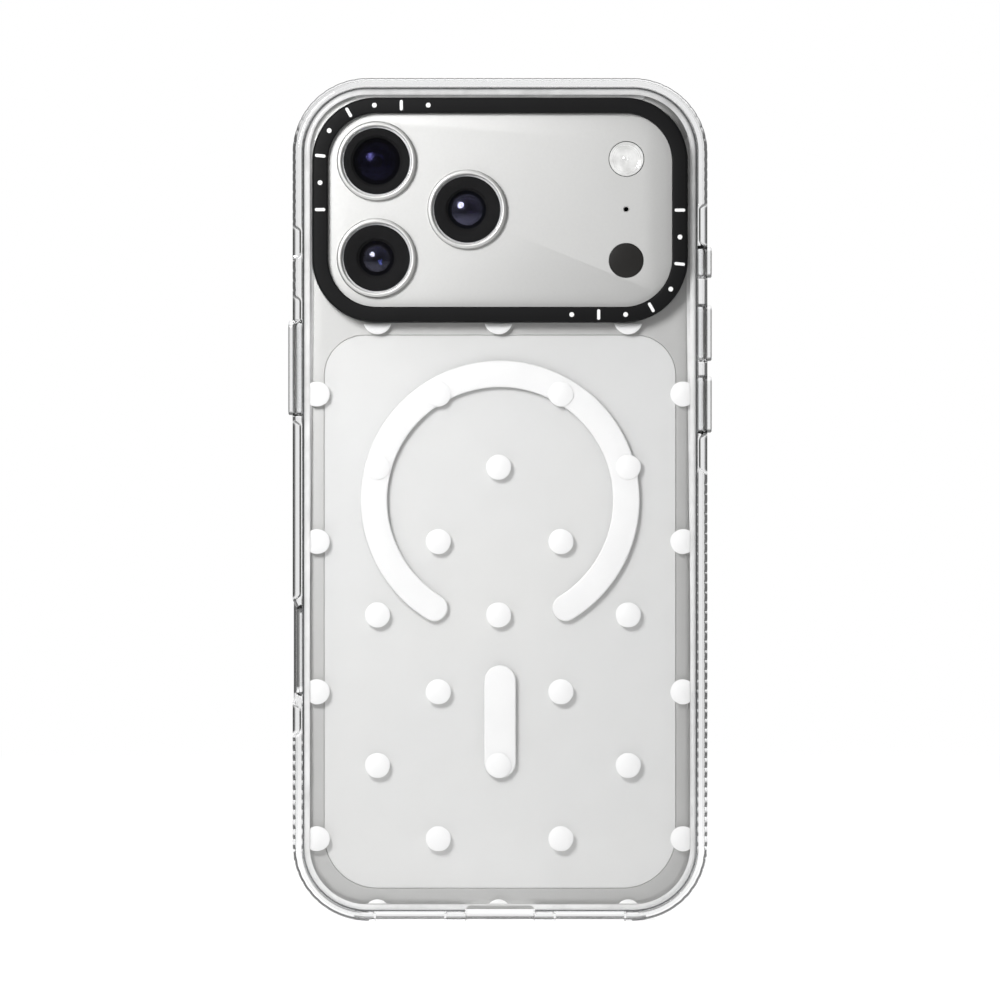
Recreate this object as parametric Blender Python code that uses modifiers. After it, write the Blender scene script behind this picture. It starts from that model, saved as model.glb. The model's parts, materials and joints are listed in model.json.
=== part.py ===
"""A large smartphone in a clear protective case, as an assembly of separate pieces.

The phone stands on its charging-port end. Its screen faces +Y and its cameras face -Y.
The origin is on the ground, under the middle of the case. The sizes below are in
millimetres, and the helpers turn them into metres.
"""

import math

import bmesh
import bpy

MM = 0.001
GAP = 0.3  # clearance between neighbouring pieces
THIN_GAP = 0.15  # clearance inside the thin stack of the case's back
PAST = 1.0  # how far a cutter runs past the face that it opens
CORNER_STEPS = 7
RIM_STEPS = 2
TURN_STEPS = 28

# Phone
PHONE_WIDTH = 78.0
PHONE_HEIGHT = 163.4
PHONE_CORNER = 12.6
PHONE_BACK = -2.475
PHONE_FRONT = 6.275
PHONE_SIDE = PHONE_WIDTH / 2
HOUSING_WALL = 2.2
HOUSING_FLOOR = 1.6

# Case
WALL = 2.03
CAVITY_WIDTH = PHONE_WIDTH + 2 * GAP
CAVITY_HEIGHT = PHONE_HEIGHT + 2 * GAP
CAVITY_CORNER = PHONE_CORNER + GAP
CASE_WIDTH = CAVITY_WIDTH + 2 * WALL
CASE_HEIGHT = 167.9
CASE_CORNER = 14.9
CASE_SIDE = CASE_WIDTH / 2
MIDDLE = CASE_HEIGHT / 2
LIP_INNER = PHONE_FRONT + GAP
LIP_FRONT = 7.375
LIP_OVERLAP = 1.1
BUMPER_BACK = -5.1
PLATE_INNER = PHONE_BACK - GAP
PLATE_OUTER = -4.675
CAMERA_RING_BACK = -7.375

# Bumper details: spans along the side or the bottom edge, low and high
POCKET_DEPTH = 1.37
POCKET_FLOOR = -1.7
LEFT_POCKETS = ((37.5, 42.5), (64.6, 99.0), (119.5, 123.9), (132.4, 137.8))
RIGHT_POCKETS = ((89.8, 96.4), (135.0, 142.2))
BOTTOM_POCKETS = ((6.96, 10.7), (25.1, 29.05))
SPEAKER_SLOT = (11.1, 24.7)
SPEAKER_SLOT_FLOOR = 4.4
PORT_HALF = 6.96
PORT_FLOOR = 5.2
SCOOP = (43.6, 64.0)
SCOOP_DEPTH = 0.95
SCOOP_FLOOR = 5.4

# Buttons: side (-1 left, +1 right), middle height, length of the phone's button
BUTTON_Y = 1.9
BUTTONS = {
    "power": (-1, 110.15, 17.7),
    "action": (1, 131.25, 5.1),
    "volume_up": (1, 117.15, 10.1),
    "volume_down": (1, 102.9, 10.2),
}
CAMERA_BUTTON_HEIGHT = 53.8
CAMERA_BUTTON_LENGTH = 17.0
BUTTON_WIDTH = 2.9
BUTTON_PROUD = 0.35
CAP_WIDTH = 4.4
CAP_LONGER = 1.0
CAP_PROUD = 0.9
FLANGE_THICK = 0.5

# Camera plateau
PLATEAU_HEIGHT = 141.5
PLATEAU_SIZE = (70.8, 40.9, 11.5)
PLATEAU_BACK = -5.375
PLATEAU_WALL = 0.9
RING_OUTER = (74.6, 44.7, 12.65)
RING_OPENING = (68.4, 38.5, 9.7)
LENSES = {
    "wide": (-24.55, 151.25),
    "ultrawide": (-24.55, 131.97),
    "tele": (-6.55, 141.64),
}
TRIM_RADIUS = 7.9
TRIM_BACK = -6.875
LENS_RADIUS = 6.95
FLASH = (25.15, 151.7, 3.43)
DEPTH_SENSOR = (25.1, 131.5, 3.37)
MICROPHONE = (25.05, 141.7, 0.45)

# Back glass and magnets
GLASS_WIDTH = 69.8
GLASS_LOW = 6.65
GLASS_HIGH = 116.6
GLASS_THICK = 0.6
MAGNET_HEIGHT = 83.86
MAGNET_RADIUS = 25.13
MAGNET_BAND = 5.29
MAGNET_GAP_ANGLE = 31.4  # from straight down to the middle of each round end
COVER_OUTER = -4.125
COVER_INNER = -3.625
MAGNET_OUTER = -3.475
MAGNET_INNER = -2.875
RING_MAGNETS = 6
BAR_WIDTH = 6.27
BAR_LENGTH = 22.4
BAR_HEIGHT = 39.73

# Bottom edge of the phone
PORT_SIZE = (8.9, 3.3)
PORT_WALL = 0.3
PORT_DEPTH = 7.5
SCREW_X = 6.1
SPEAKER_HOLES = 5
SPEAKER_FIRST = 12.6
SPEAKER_PITCH = 2.65

# Front face
EARPIECE_HEIGHT = 163.1
FRONT_CAMERA = (0, 157.3)

# Inside, as low and high corners
CELL = ((-31, -0.3, 20.5), (31, 3.6, 106.5))
PROCESSOR = ((8, 2.3, 112), (32, 3.5, 134))
LOUDSPEAKER = ((7.5, -0.4, 5.5), (29, 3.5, 18.5))
EARPIECE_SPEAKER = ((-9, 0.5, 160.2), (9, 4.0, 163.1))
HAPTIC_BOX = ((-29.0, -0.4, 5.5), (-8.5, 3.4, 17.5))
BOARD_OUTLINE = ((-34, 110), (34, 110), (34, 156), (3.5, 156), (3.5, 121.5), (-34, 121.5))
BOARD_DEPTH = (1.2, 2.0)
HEAT_SPREADER_DEPTH = (3.9, 4.15)
COIL_RADII = (11.0, 21.0)
PHONE_MAGNET_RADII = (22.9, 27.4)


def clear_scene():
    for thing in list(bpy.data.objects):
        bpy.data.objects.remove(thing, do_unlink=True)


def new_collection(name):
    collection = bpy.data.collections.new(name)
    bpy.context.scene.collection.children.link(collection)
    return collection


def material(name, colour, roughness, metallic=0.0, alpha=1.0):
    made = bpy.data.materials.new(name)
    made.use_nodes = True
    shader = made.node_tree.nodes["Principled BSDF"]
    shader.inputs["Base Color"].default_value = (*colour, 1.0)
    shader.inputs["Roughness"].default_value = roughness
    shader.inputs["Metallic"].default_value = metallic
    shader.inputs["Alpha"].default_value = alpha
    made.diffuse_color = (*colour, alpha)
    return made


# Outlines: lists of points (a, b) in millimetres, anticlockwise


def arc(centre, radius, start, end, steps):
    """Points along an arc, with both ends; angles in degrees."""
    points = []
    for step in range(steps + 1):
        angle = math.radians(start + (end - start) * step / steps)
        points.append((centre[0] + radius * math.cos(angle), centre[1] + radius * math.sin(angle)))
    return points


def rounded_box(width, height, radius, centre, low_radius=None, steps=CORNER_STEPS):
    """A rectangle with round corners; low_radius is for the two lower ones."""
    low = radius if low_radius is None else low_radius
    points = []
    quarters = ((0, 1, 1, radius), (90, -1, 1, radius), (180, -1, -1, low), (270, 1, -1, low))
    for turn, side, end, corner in quarters:
        middle = (
            centre[0] + side * (width / 2 - corner),
            centre[1] + end * (height / 2 - corner),
        )
        points += arc(middle, corner, turn, turn + 90, steps)
    return points


def open_ring(radius, band, gap_angle, centre, steps=40):
    """A C that is open below, with round ends."""
    start = gap_angle - 90
    end = 270 - gap_angle
    outer = arc(centre, radius + band / 2, start, end, steps)
    inner = arc(centre, radius - band / 2, end, start, steps)
    far = arc(centre, radius, end, end, 1)[0]
    near = arc(centre, radius, start, start, 1)[0]
    round_end = arc(far, band / 2, end, end + 180, 6)[1:-1]
    round_start = arc(near, band / 2, start + 180, start + 360, 6)[1:-1]
    return outer + round_end + inner + round_start


def ring_sector(radius, band, start, end, centre, steps):
    outer = arc(centre, radius + band / 2, start, end, steps)
    inner = arc(centre, radius - band / 2, end, start, steps)
    return outer + inner


# Solids

TURNS = {"X": (math.pi / 2, 0, math.pi / 2), "Y": (math.pi / 2, 0, 0), "Z": (0, 0, 0)}


def link(piece, finish):
    if finish is None:
        cutters.objects.link(piece)
        piece.hide_render = True
        piece.display_type = "WIRE"
    else:
        parts.objects.link(piece)
        piece.data.materials.clear()
        piece.data.materials.append(finish)
        piece.data.shade_smooth()
        piece.data.set_sharp_from_angle(angle=math.radians(35))
    return piece


def slab(name, outline, low, high, finish=None, axis="Y"):
    """An outline made solid from low to high along an axis.

    The outline lies in XZ for axis Y, in YZ for axis X and in XY for axis Z.
    """
    curve = bpy.data.curves.new(name, "CURVE")
    curve.dimensions = "2D"
    curve.fill_mode = "BOTH"
    curve.extrude = (high - low) / 2 * MM
    spline = curve.splines.new("POLY")
    spline.points.add(len(outline) - 1)
    for point, (a, b) in zip(spline.points, outline):
        point.co = (a * MM, b * MM, 0, 1)
    spline.use_cyclic_u = True
    drawn = bpy.data.objects.new(name, curve)
    drawn.rotation_euler = TURNS[axis]
    drawn.location["XYZ".index(axis)] = (low + high) / 2 * MM
    bpy.context.scene.collection.objects.link(drawn)
    bpy.context.view_layer.update()
    graph = bpy.context.evaluated_depsgraph_get()
    mesh = bpy.data.meshes.new_from_object(drawn.evaluated_get(graph))
    place = drawn.matrix_world.copy()
    bpy.data.objects.remove(drawn, do_unlink=True)
    bm = bmesh.new()
    bm.from_mesh(mesh)
    bmesh.ops.remove_doubles(bm, verts=bm.verts, dist=1e-6)
    bmesh.ops.dissolve_limit(bm, angle_limit=math.radians(1), verts=bm.verts, edges=bm.edges)
    bmesh.ops.recalc_face_normals(bm, faces=bm.faces)
    bm.to_mesh(mesh)
    bm.free()
    piece = bpy.data.objects.new(name, mesh)
    piece.matrix_world = place
    return link(piece, finish)


def block(name, low, high, finish=None):
    """A box from one corner to the other."""
    mesh = bpy.data.meshes.new(name)
    bm = bmesh.new()
    bmesh.ops.create_cube(bm, size=1)
    size = [(b - a) * MM for a, b in zip(low, high)]
    bmesh.ops.scale(bm, vec=size, verts=bm.verts)
    bm.to_mesh(mesh)
    bm.free()
    piece = bpy.data.objects.new(name, mesh)
    piece.location = [(a + b) / 2 * MM for a, b in zip(low, high)]
    return link(piece, finish)


def rod(name, centre, radius, low, high, finish=None, axis="Y", segments=TURN_STEPS):
    """A cylinder; centre is in the same plane as a slab's outline."""
    mesh = bpy.data.meshes.new(name)
    bm = bmesh.new()
    size = radius * MM
    depth = (high - low) * MM
    bmesh.ops.create_cone(bm, cap_ends=True, segments=segments, radius1=size, radius2=size, depth=depth)
    bm.to_mesh(mesh)
    bm.free()
    piece = bpy.data.objects.new(name, mesh)
    piece.rotation_euler = TURNS[axis]
    middle = (low + high) / 2
    spots = {"X": (middle, *centre), "Y": (centre[0], middle, centre[1]), "Z": (*centre, middle)}
    piece.location = [value * MM for value in spots[axis]]
    return link(piece, finish)


def turned(name, profile, centre, finish=None):
    """A ring or a solid turned about an axis along Y; the profile holds (radius, y)."""
    mesh = bpy.data.meshes.new(name)
    mesh.from_pydata(
        [(radius * MM, 0, -y * MM) for radius, y in profile],
        [(i, (i + 1) % len(profile)) for i in range(len(profile))],
        [],
    )
    piece = bpy.data.objects.new(name, mesh)
    piece.rotation_euler = TURNS["Y"]
    piece.location = (centre[0] * MM, 0, centre[1] * MM)
    link(piece, finish)
    screw = piece.modifiers.new("turn", "SCREW")
    screw.steps = TURN_STEPS
    screw.render_steps = TURN_STEPS
    screw.use_merge_vertices = True
    screw.merge_threshold = 1e-6
    return piece


def bevel(piece, width, segments=2, angle=50):
    added = piece.modifiers.new("round edges", "BEVEL")
    added.width = width * MM
    added.segments = segments
    added.limit_method = "ANGLE"
    added.angle_limit = math.radians(angle)
    return piece


def round_rims(piece, back, front, segments=RIM_STEPS):
    """Rounds a slab's two rims by different widths; back is the rim at the slab's -Y or outer end."""
    widest = max(back, front)
    bm = bmesh.new()
    bm.from_mesh(piece.data)
    weight = bm.edges.layers.float.new("bevel_weight_edge")
    for edge in bm.edges:
        depths = [vertex.co.z for vertex in edge.verts]
        flat = abs(depths[0] - depths[1]) < 1e-7
        if flat and edge.calc_face_angle(0) > math.radians(60):
            edge[weight] = (back if depths[0] > 0 else front) / widest
    bm.to_mesh(piece.data)
    bm.free()
    added = piece.modifiers.new("round rims", "BEVEL")
    added.width = widest * MM
    added.segments = segments
    added.limit_method = "WEIGHT"
    return piece


def boolean(piece, other, operation="DIFFERENCE"):
    added = piece.modifiers.new(other.name, "BOOLEAN")
    added.operation = operation
    added.object = other
    return piece


def cut(piece, *others):
    for other in others:
        boolean(piece, other)
    return piece


def cut_group(piece, others):
    """Cuts with several solids that are clear of each other, in one modifier."""
    group = bpy.data.collections.new(piece.name + "_cutters")
    cutters.children.link(group)
    for other in others:
        cutters.objects.unlink(other)
        group.objects.link(other)
    added = piece.modifiers.new("cuts", "BOOLEAN")
    added.operand_type = "COLLECTION"
    added.collection = group
    return piece


def side_span(side, outer, inner):
    """The low and high x of a stretch between two distances from the middle plane."""
    return sorted((side * outer, side * inner))


# Case


def bumper_cutters():
    """The relief pockets, button slots, thumb scoop, speaker slots and charging-port notch."""
    made = []
    for side, spans in ((-1, LEFT_POCKETS), (1, RIGHT_POCKETS)):
        x_low, x_high = side_span(side, CASE_SIDE + PAST, CASE_SIDE - POCKET_DEPTH)
        for low, high in spans:
            corners = ((x_low, BUMPER_BACK - PAST, low), (x_high, POCKET_FLOOR, high))
            made.append(block("side_pocket", *corners))
    for side in (-1, 1):
        for near, far in BOTTOM_POCKETS:
            x_low, x_high = side_span(side, near, far)
            corners = ((x_low, BUMPER_BACK - PAST, -PAST), (x_high, POCKET_FLOOR, POCKET_DEPTH))
            made.append(block("bottom_pocket", *corners))
        x_low, x_high = side_span(side, *SPEAKER_SLOT)
        corners = ((x_low, BUMPER_BACK - PAST, -PAST), (x_high, SPEAKER_SLOT_FLOOR, WALL + GAP))
        made.append(block("speaker_slot", *corners))
    corners = ((-PORT_HALF, BUMPER_BACK - PAST, -PAST), (PORT_HALF, PORT_FLOOR, WALL + GAP))
    made.append(block("port_notch", *corners))
    for name, (side, height, length) in BUTTONS.items():
        x_low, x_high = side_span(side, CASE_SIDE + PAST, PHONE_SIDE)
        outline = rounded_box(
            CAP_WIDTH + 2 * GAP, length + CAP_LONGER + 2 * GAP, 1.5, (BUTTON_Y, height), steps=3
        )
        made.append(slab(name + "_slot", outline, x_low, x_high, axis="X"))
    return made


def make_bumper(finish):
    outline = rounded_box(CASE_WIDTH, CASE_HEIGHT, CASE_CORNER, (0, MIDDLE))
    bumper = slab("bumper", outline, BUMPER_BACK, LIP_FRONT, finish)
    round_rims(bumper, 0.9, 1.2)
    inner = rounded_box(CAVITY_WIDTH, CAVITY_HEIGHT, CAVITY_CORNER, (0, MIDDLE))
    cavity = slab("case_cavity", inner, BUMPER_BACK - PAST, LIP_INNER)
    lip = rounded_box(
        PHONE_WIDTH - 2 * LIP_OVERLAP,
        PHONE_HEIGHT - 2 * LIP_OVERLAP,
        PHONE_CORNER - LIP_OVERLAP,
        (0, MIDDLE),
    )
    screen_opening = slab("screen_opening", lip, LIP_INNER - PAST, LIP_FRONT + PAST)
    low, high = SCOOP
    middle = (low + high) / 2
    x_low, x_high = side_span(-1, CASE_SIDE + PAST, CASE_SIDE - SCOOP_DEPTH)
    scoop = block("thumb_scoop", (x_low, BUMPER_BACK - PAST, low), (x_high, SCOOP_FLOOR, high))
    x_low, x_high = side_span(-1, CASE_SIDE + PAST, PHONE_SIDE)
    window = rounded_box(CAP_WIDTH + 2 * GAP, CAMERA_BUTTON_LENGTH + 1.4, 2.0, (BUTTON_Y, middle), steps=3)
    camera_window = slab("camera_button_window", window, x_low, x_high, axis="X")
    cut(bumper, cavity, screen_opening, scoop, camera_window)
    cut_group(bumper, bumper_cutters())


def make_back_plate(finish):
    outline = rounded_box(PHONE_WIDTH, PHONE_HEIGHT, PHONE_CORNER, (0, MIDDLE))
    plate = slab("back_plate", outline, PLATE_OUTER, PLATE_INNER, finish)
    round_rims(plate, 0.8, 0.2, segments=2)
    width, height, corner = RING_OUTER
    spare = 2 * THIN_GAP
    window = rounded_box(width + spare, height + spare, corner + THIN_GAP, (0, PLATEAU_HEIGHT))
    camera_window = slab("plate_camera_window", window, PLATE_OUTER - PAST, PLATE_INNER + PAST)
    ring = open_ring(MAGNET_RADIUS, MAGNET_BAND + spare, MAGNET_GAP_ANGLE, (0, MAGNET_HEIGHT))
    floor = COVER_OUTER - THIN_GAP
    ring_pocket = slab("ring_pocket", ring, floor, PLATE_INNER + PAST)
    bar_corner = BAR_WIDTH / 2 + THIN_GAP
    bar = rounded_box(BAR_WIDTH + spare, BAR_LENGTH + spare, bar_corner, (0, BAR_HEIGHT), steps=6)
    bar_pocket = slab("bar_pocket", bar, floor, PLATE_INNER + PAST)
    notch = rounded_box(2 * PORT_HALF, 3.4, 1.2, (0, 1.5), steps=3)
    port_notch = slab("plate_port_notch", notch, PLATE_OUTER - PAST, PLATE_INNER + PAST)
    cut_group(plate, [camera_window, ring_pocket, bar_pocket, port_notch])


def make_camera_ring(finish):
    """The black surround: it fills the plate's window and its band overhangs the plateau."""
    width, height, corner = RING_OUTER
    centre = (0, PLATEAU_HEIGHT)
    ring = slab("camera_ring", rounded_box(width, height, corner, centre), CAMERA_RING_BACK, PLATE_INNER, finish)
    round_rims(ring, 0.6, 0.15)
    opening = slab("ring_opening", rounded_box(*RING_OPENING, centre), CAMERA_RING_BACK - PAST, PLATEAU_BACK)
    plateau_width, plateau_height, plateau_corner = PLATEAU_SIZE
    room_outline = rounded_box(
        plateau_width + 2 * GAP, plateau_height + 2 * GAP, plateau_corner + GAP, centre
    )
    room = slab("ring_room", room_outline, PLATEAU_BACK - GAP, PLATE_INNER + PAST)
    cut(ring, opening, room)


def make_magnets(white, steel):
    centre = (0, MAGNET_HEIGHT)
    cover = open_ring(MAGNET_RADIUS, MAGNET_BAND, MAGNET_GAP_ANGLE, centre)
    slab("magnet_ring_cover", cover, COVER_OUTER, COVER_INNER, white)
    first = MAGNET_GAP_ANGLE - 87.5
    sweep = (355 - 2 * MAGNET_GAP_ANGLE) / RING_MAGNETS
    for index in range(RING_MAGNETS):
        start = first + index * sweep
        outline = ring_sector(MAGNET_RADIUS, 4.2, start + 0.6, start + sweep - 0.6, centre, 5)
        slab(f"case_ring_magnet_{index + 1}", outline, MAGNET_OUTER, MAGNET_INNER, steel)
    bar = rounded_box(BAR_WIDTH, BAR_LENGTH, BAR_WIDTH / 2, (0, BAR_HEIGHT), steps=6)
    slab("alignment_bar_cover", bar, COVER_OUTER, COVER_INNER, white)
    core = rounded_box(BAR_WIDTH - 1.6, BAR_LENGTH - 3.0, 1.2, (0, BAR_HEIGHT), steps=3)
    slab("alignment_bar_magnet", core, MAGNET_OUTER, MAGNET_INNER, steel)


def make_caps(finish):
    """The case's caps over the phone's buttons."""
    for name, (side, height, length) in BUTTONS.items():
        outline = rounded_box(CAP_WIDTH, length + CAP_LONGER, 1.2, (BUTTON_Y, height), steps=3)
        x_low, x_high = side_span(side, PHONE_SIDE + BUTTON_PROUD + GAP, CASE_SIDE + CAP_PROUD)
        cap = slab(name + "_cap", outline, x_low, x_high, finish, axis="X")
        outer, inner = (0.35, 0.1) if side > 0 else (0.1, 0.35)
        round_rims(cap, outer, inner, segments=2)


# Phone


def make_housing(finish):
    housing = slab(
        "housing",
        rounded_box(PHONE_WIDTH, PHONE_HEIGHT, PHONE_CORNER, (0, MIDDLE)),
        PHONE_BACK,
        PHONE_FRONT,
        finish,
    )
    round_rims(housing, 2.2, 0.6)
    plateau_centre = (0, PLATEAU_HEIGHT)
    width, height, corner = PLATEAU_SIZE
    plateau = slab("plateau", rounded_box(*PLATEAU_SIZE, plateau_centre), PLATEAU_BACK, PHONE_BACK + 0.5)
    round_rims(plateau, 0.9, 0.1)
    boolean(housing, plateau, "UNION")
    walls = 2 * HOUSING_WALL
    cavity = slab(
        "phone_cavity",
        rounded_box(PHONE_WIDTH - walls, PHONE_HEIGHT - walls, PHONE_CORNER - HOUSING_WALL, (0, MIDDLE)),
        PHONE_BACK + HOUSING_FLOOR,
        PHONE_FRONT + PAST,
    )
    recess = slab(
        "cover_glass_recess",
        rounded_box(PHONE_WIDTH - 1.8, PHONE_HEIGHT - 1.8, PHONE_CORNER - 0.9, (0, MIDDLE)),
        PHONE_FRONT - 1.1,
        PHONE_FRONT + PAST,
    )
    hollow = slab(
        "plateau_hollow",
        rounded_box(width - 3.2, height - 3.2, corner - 1.6, plateau_centre),
        PLATEAU_BACK + PLATEAU_WALL,
        PHONE_BACK + HOUSING_FLOOR + 0.2,
    )
    glass_middle = (0, (GLASS_LOW + GLASS_HIGH) / 2)
    glass_height = GLASS_HIGH - GLASS_LOW
    glass_recess = slab(
        "back_glass_recess",
        rounded_box(GLASS_WIDTH + 2 * GAP, glass_height + 2 * GAP, 8.3, glass_middle, low_radius=10.8),
        PHONE_BACK - PAST,
        PHONE_BACK + GLASS_THICK + GAP,
    )
    coil_window = slab(
        "coil_window",
        rounded_box(GLASS_WIDTH - 7.8, glass_height - 9.9, 8.0, glass_middle, steps=4),
        PHONE_BACK,
        PHONE_BACK + HOUSING_FLOOR + 0.2,
    )
    cut(housing, cavity, recess, hollow, glass_recess, coil_window)
    cut_group(housing, housing_holes())


def housing_holes():
    """The small holes of the plateau, the sides and the bottom."""
    made = []
    back = (PLATEAU_BACK - PAST, PLATEAU_BACK + PLATEAU_WALL + 0.4)
    for name, centre in LENSES.items():
        made.append(rod(name + "_hole", centre, TRIM_RADIUS - 0.6, *back))
    made.append(rod("flash_hole", FLASH[:2], FLASH[2] + 0.27, *back, segments=24))
    made.append(rod("depth_hole", DEPTH_SENSOR[:2], DEPTH_SENSOR[2] + 0.27, *back, segments=24))
    made.append(rod("rear_microphone_hole", MICROPHONE[:2], MICROPHONE[2], *back, segments=12))
    camera_button = (-1, CAMERA_BUTTON_HEIGHT, CAMERA_BUTTON_LENGTH)
    for side, height, length in (*BUTTONS.values(), camera_button):
        x_low, x_high = side_span(side, PHONE_SIDE + PAST, PHONE_SIDE - HOUSING_WALL - 0.4)
        outline = rounded_box(BUTTON_WIDTH + 2 * GAP, length + 2 * GAP, 1.7, (BUTTON_Y, height), steps=3)
        made.append(slab("button_slot", outline, x_low, x_high, axis="X"))
    bottom = MIDDLE - PHONE_HEIGHT / 2
    down = (bottom - PAST, bottom + HOUSING_WALL + 0.4)
    width, height = PORT_SIZE
    port = rounded_box(width + 2 * GAP, height + 2 * GAP, height / 2 + GAP, (0, BUTTON_Y), steps=5)
    made.append(slab("port_hole", port, *down, axis="Z"))
    for side in (-1, 1):
        made.append(rod("screw_hole", (side * SCREW_X, BUTTON_Y), 0.95, *down, axis="Z", segments=12))
        for index in range(SPEAKER_HOLES):
            x = side * (SPEAKER_FIRST + index * SPEAKER_PITCH)
            made.append(rod("speaker_hole", (x, BUTTON_Y), 0.75, *down, axis="Z", segments=12))
    return made


def make_glass(back_finish, front_finish, panel_finish, dark, steel):
    glass_middle = (0, (GLASS_LOW + GLASS_HIGH) / 2)
    outline = rounded_box(GLASS_WIDTH, GLASS_HIGH - GLASS_LOW, 8.0, glass_middle, low_radius=10.5)
    slab("back_glass", outline, PHONE_BACK, PHONE_BACK + GLASS_THICK, back_finish)
    centre = (0, MIDDLE)
    front = rounded_box(PHONE_WIDTH - 2.4, PHONE_HEIGHT - 2.4, PHONE_CORNER - 1.2, centre)
    cover = slab("display_cover_glass", front, PHONE_FRONT - 0.8, PHONE_FRONT, front_finish)
    slot = rounded_box(10.6, 1.1, 0.5, (0, EARPIECE_HEIGHT), steps=3)
    cut(cover, slab("earpiece_slot", slot, PHONE_FRONT - 2, PHONE_FRONT + PAST))
    mesh = rounded_box(10.0, 0.5, 0.2, (0, EARPIECE_HEIGHT), steps=2)
    slab("earpiece_mesh", mesh, PHONE_FRONT - 0.7, PHONE_FRONT - 0.2, steel)
    face = rounded_box(PHONE_WIDTH - 5.6, PHONE_HEIGHT - 5.8, PHONE_CORNER - 2.8, centre)
    panel = slab("display_panel", face, PHONE_FRONT - 1.825, PHONE_FRONT - 1.125, panel_finish)
    cut(panel, rod("front_camera_hole", FRONT_CAMERA, 2.5, PHONE_FRONT - 3, PHONE_FRONT))
    rod("front_camera", FRONT_CAMERA, 2.0, 0.5, 5.1, dark, segments=20)
    slab("heat_spreader", rounded_box(64, 122, 3, (0, 85), steps=2), *HEAT_SPREADER_DEPTH, steel)


def make_cameras(metal, glass, dark):
    for name, (x, z) in LENSES.items():
        seat = PLATEAU_BACK - GAP
        recess = TRIM_BACK + 1.2
        neck = PLATEAU_BACK + PLATEAU_WALL + GAP
        profile = (
            (LENS_RADIUS, recess),
            (LENS_RADIUS, TRIM_BACK + 0.15),
            (LENS_RADIUS + 0.15, TRIM_BACK),
            (TRIM_RADIUS - 0.3, TRIM_BACK),
            (TRIM_RADIUS, TRIM_BACK + 0.3),
            (TRIM_RADIUS, seat),
            (TRIM_RADIUS - 0.9, seat),
            (TRIM_RADIUS - 0.9, neck),
            (5.6, neck),
            (5.6, recess),
        )
        turned(name + "_lens_trim", profile, (x, z), metal)
        rod(name + "_lens_glass", (x, z), LENS_RADIUS - 0.2, TRIM_BACK + 0.2, recess - GAP, glass)
        outline = rounded_box(15, 15, 5, (x, z), steps=4)
        body = slab(name + "_camera_module", outline, neck + GAP, 3.2, dark)
        barrel = rod(name + "_barrel", (x, z), 5.0, recess + GAP, neck + 1, segments=24)
        boolean(body, barrel, "UNION")


def make_rear_sensors(diffuser, window, board):
    inner = PLATEAU_BACK + PLATEAU_WALL + 0.15
    rod("flash_diffuser", FLASH[:2], FLASH[2], PLATEAU_BACK, inner, diffuser, segments=24)
    rod("depth_sensor_window", DEPTH_SENSOR[:2], DEPTH_SENSOR[2], PLATEAU_BACK, inner, window, segments=24)
    for name, (x, z, _), half in (("flash_module", FLASH, 3.0), ("depth_sensor_module", DEPTH_SENSOR, 4.2)):
        block(name, (x - half, inner + GAP, z - half), (x + half, 0.6, z + half), board)


def make_electronics(cell, board, shield, copper, magnet, plastic):
    bevel(block("battery", *CELL, cell), 1.0)
    slab("main_board", BOARD_OUTLINE, *BOARD_DEPTH, board)
    bevel(block("processor_shield", *PROCESSOR, shield), 0.4)
    centre = (0, MAGNET_HEIGHT)
    coil_top = PHONE_BACK + GLASS_THICK + GAP
    rings = (("charging_coil", COIL_RADII, copper), ("phone_magnet_ring", PHONE_MAGNET_RADII, magnet))
    for name, (inner, outer), finish in rings:
        ring = rod(name, centre, outer, coil_top, coil_top + 0.5, finish)
        cut(ring, rod(name + "_middle", centre, inner, coil_top - PAST, coil_top + PAST))
    bevel(block("loudspeaker", *LOUDSPEAKER, plastic), 0.8)
    bevel(block("earpiece_speaker", *EARPIECE_SPEAKER, plastic), 0.5)
    low, high = HAPTIC_BOX
    housing = block("haptic_housing", low, high, shield)
    inner_low = [value + 0.6 for value in low]
    inner_high = [high[0] - 0.6, high[1] + PAST, high[2] - 0.6]
    cut(housing, block("haptic_room", inner_low, inner_high))
    mass_low = [inner_low[0] + 1.4, inner_low[1] + GAP, inner_low[2] + 0.4]
    mass_high = [inner_high[0] - 1.4, high[1] - GAP, inner_high[2] - 0.4]
    bevel(block("haptic_mass", mass_low, mass_high, magnet), 0.3)
    flex_outer = PHONE_SIDE - HOUSING_WALL - 2 * GAP - FLANGE_THICK
    for name, side, low_z, high_z in (("left_key_flex", -1, 40, 122), ("right_key_flex", 1, 94, 137)):
        x_low, x_high = side_span(side, flex_outer, flex_outer - 0.4)
        block(name, (x_low, 0.4, low_z), (x_high, 3.4, high_z), board)


def make_port(steel, plastic):
    width, height = PORT_SIZE
    bottom = MIDDLE - PHONE_HEIGHT / 2 + 0.15
    shell_outline = rounded_box(width, height, height / 2, (0, BUTTON_Y), steps=5)
    shell = slab("port_shell", shell_outline, bottom, bottom + PORT_DEPTH, steel, axis="Z")
    inside = rounded_box(
        width - 2 * PORT_WALL, height - 2 * PORT_WALL, height / 2 - PORT_WALL, (0, BUTTON_Y), steps=5
    )
    cut(shell, slab("port_inside", inside, bottom - PAST, bottom + PORT_DEPTH - 0.6, axis="Z"))
    tongue_top = bottom + PORT_DEPTH - 0.6 - GAP
    block("port_tongue", (-3.3, BUTTON_Y - 0.35, bottom + 0.8), (3.3, BUTTON_Y + 0.35, tongue_top), plastic)
    for name, side in (("left_bottom_screw", -1), ("right_bottom_screw", 1)):
        centre = (side * SCREW_X, BUTTON_Y)
        screw = rod(name, centre, 0.65, bottom, bottom + 3.2, steel, axis="Z", segments=16)
        cut(screw, rod(name + "_socket", centre, 0.35, bottom - PAST, bottom + 0.5, axis="Z", segments=6))


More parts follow.
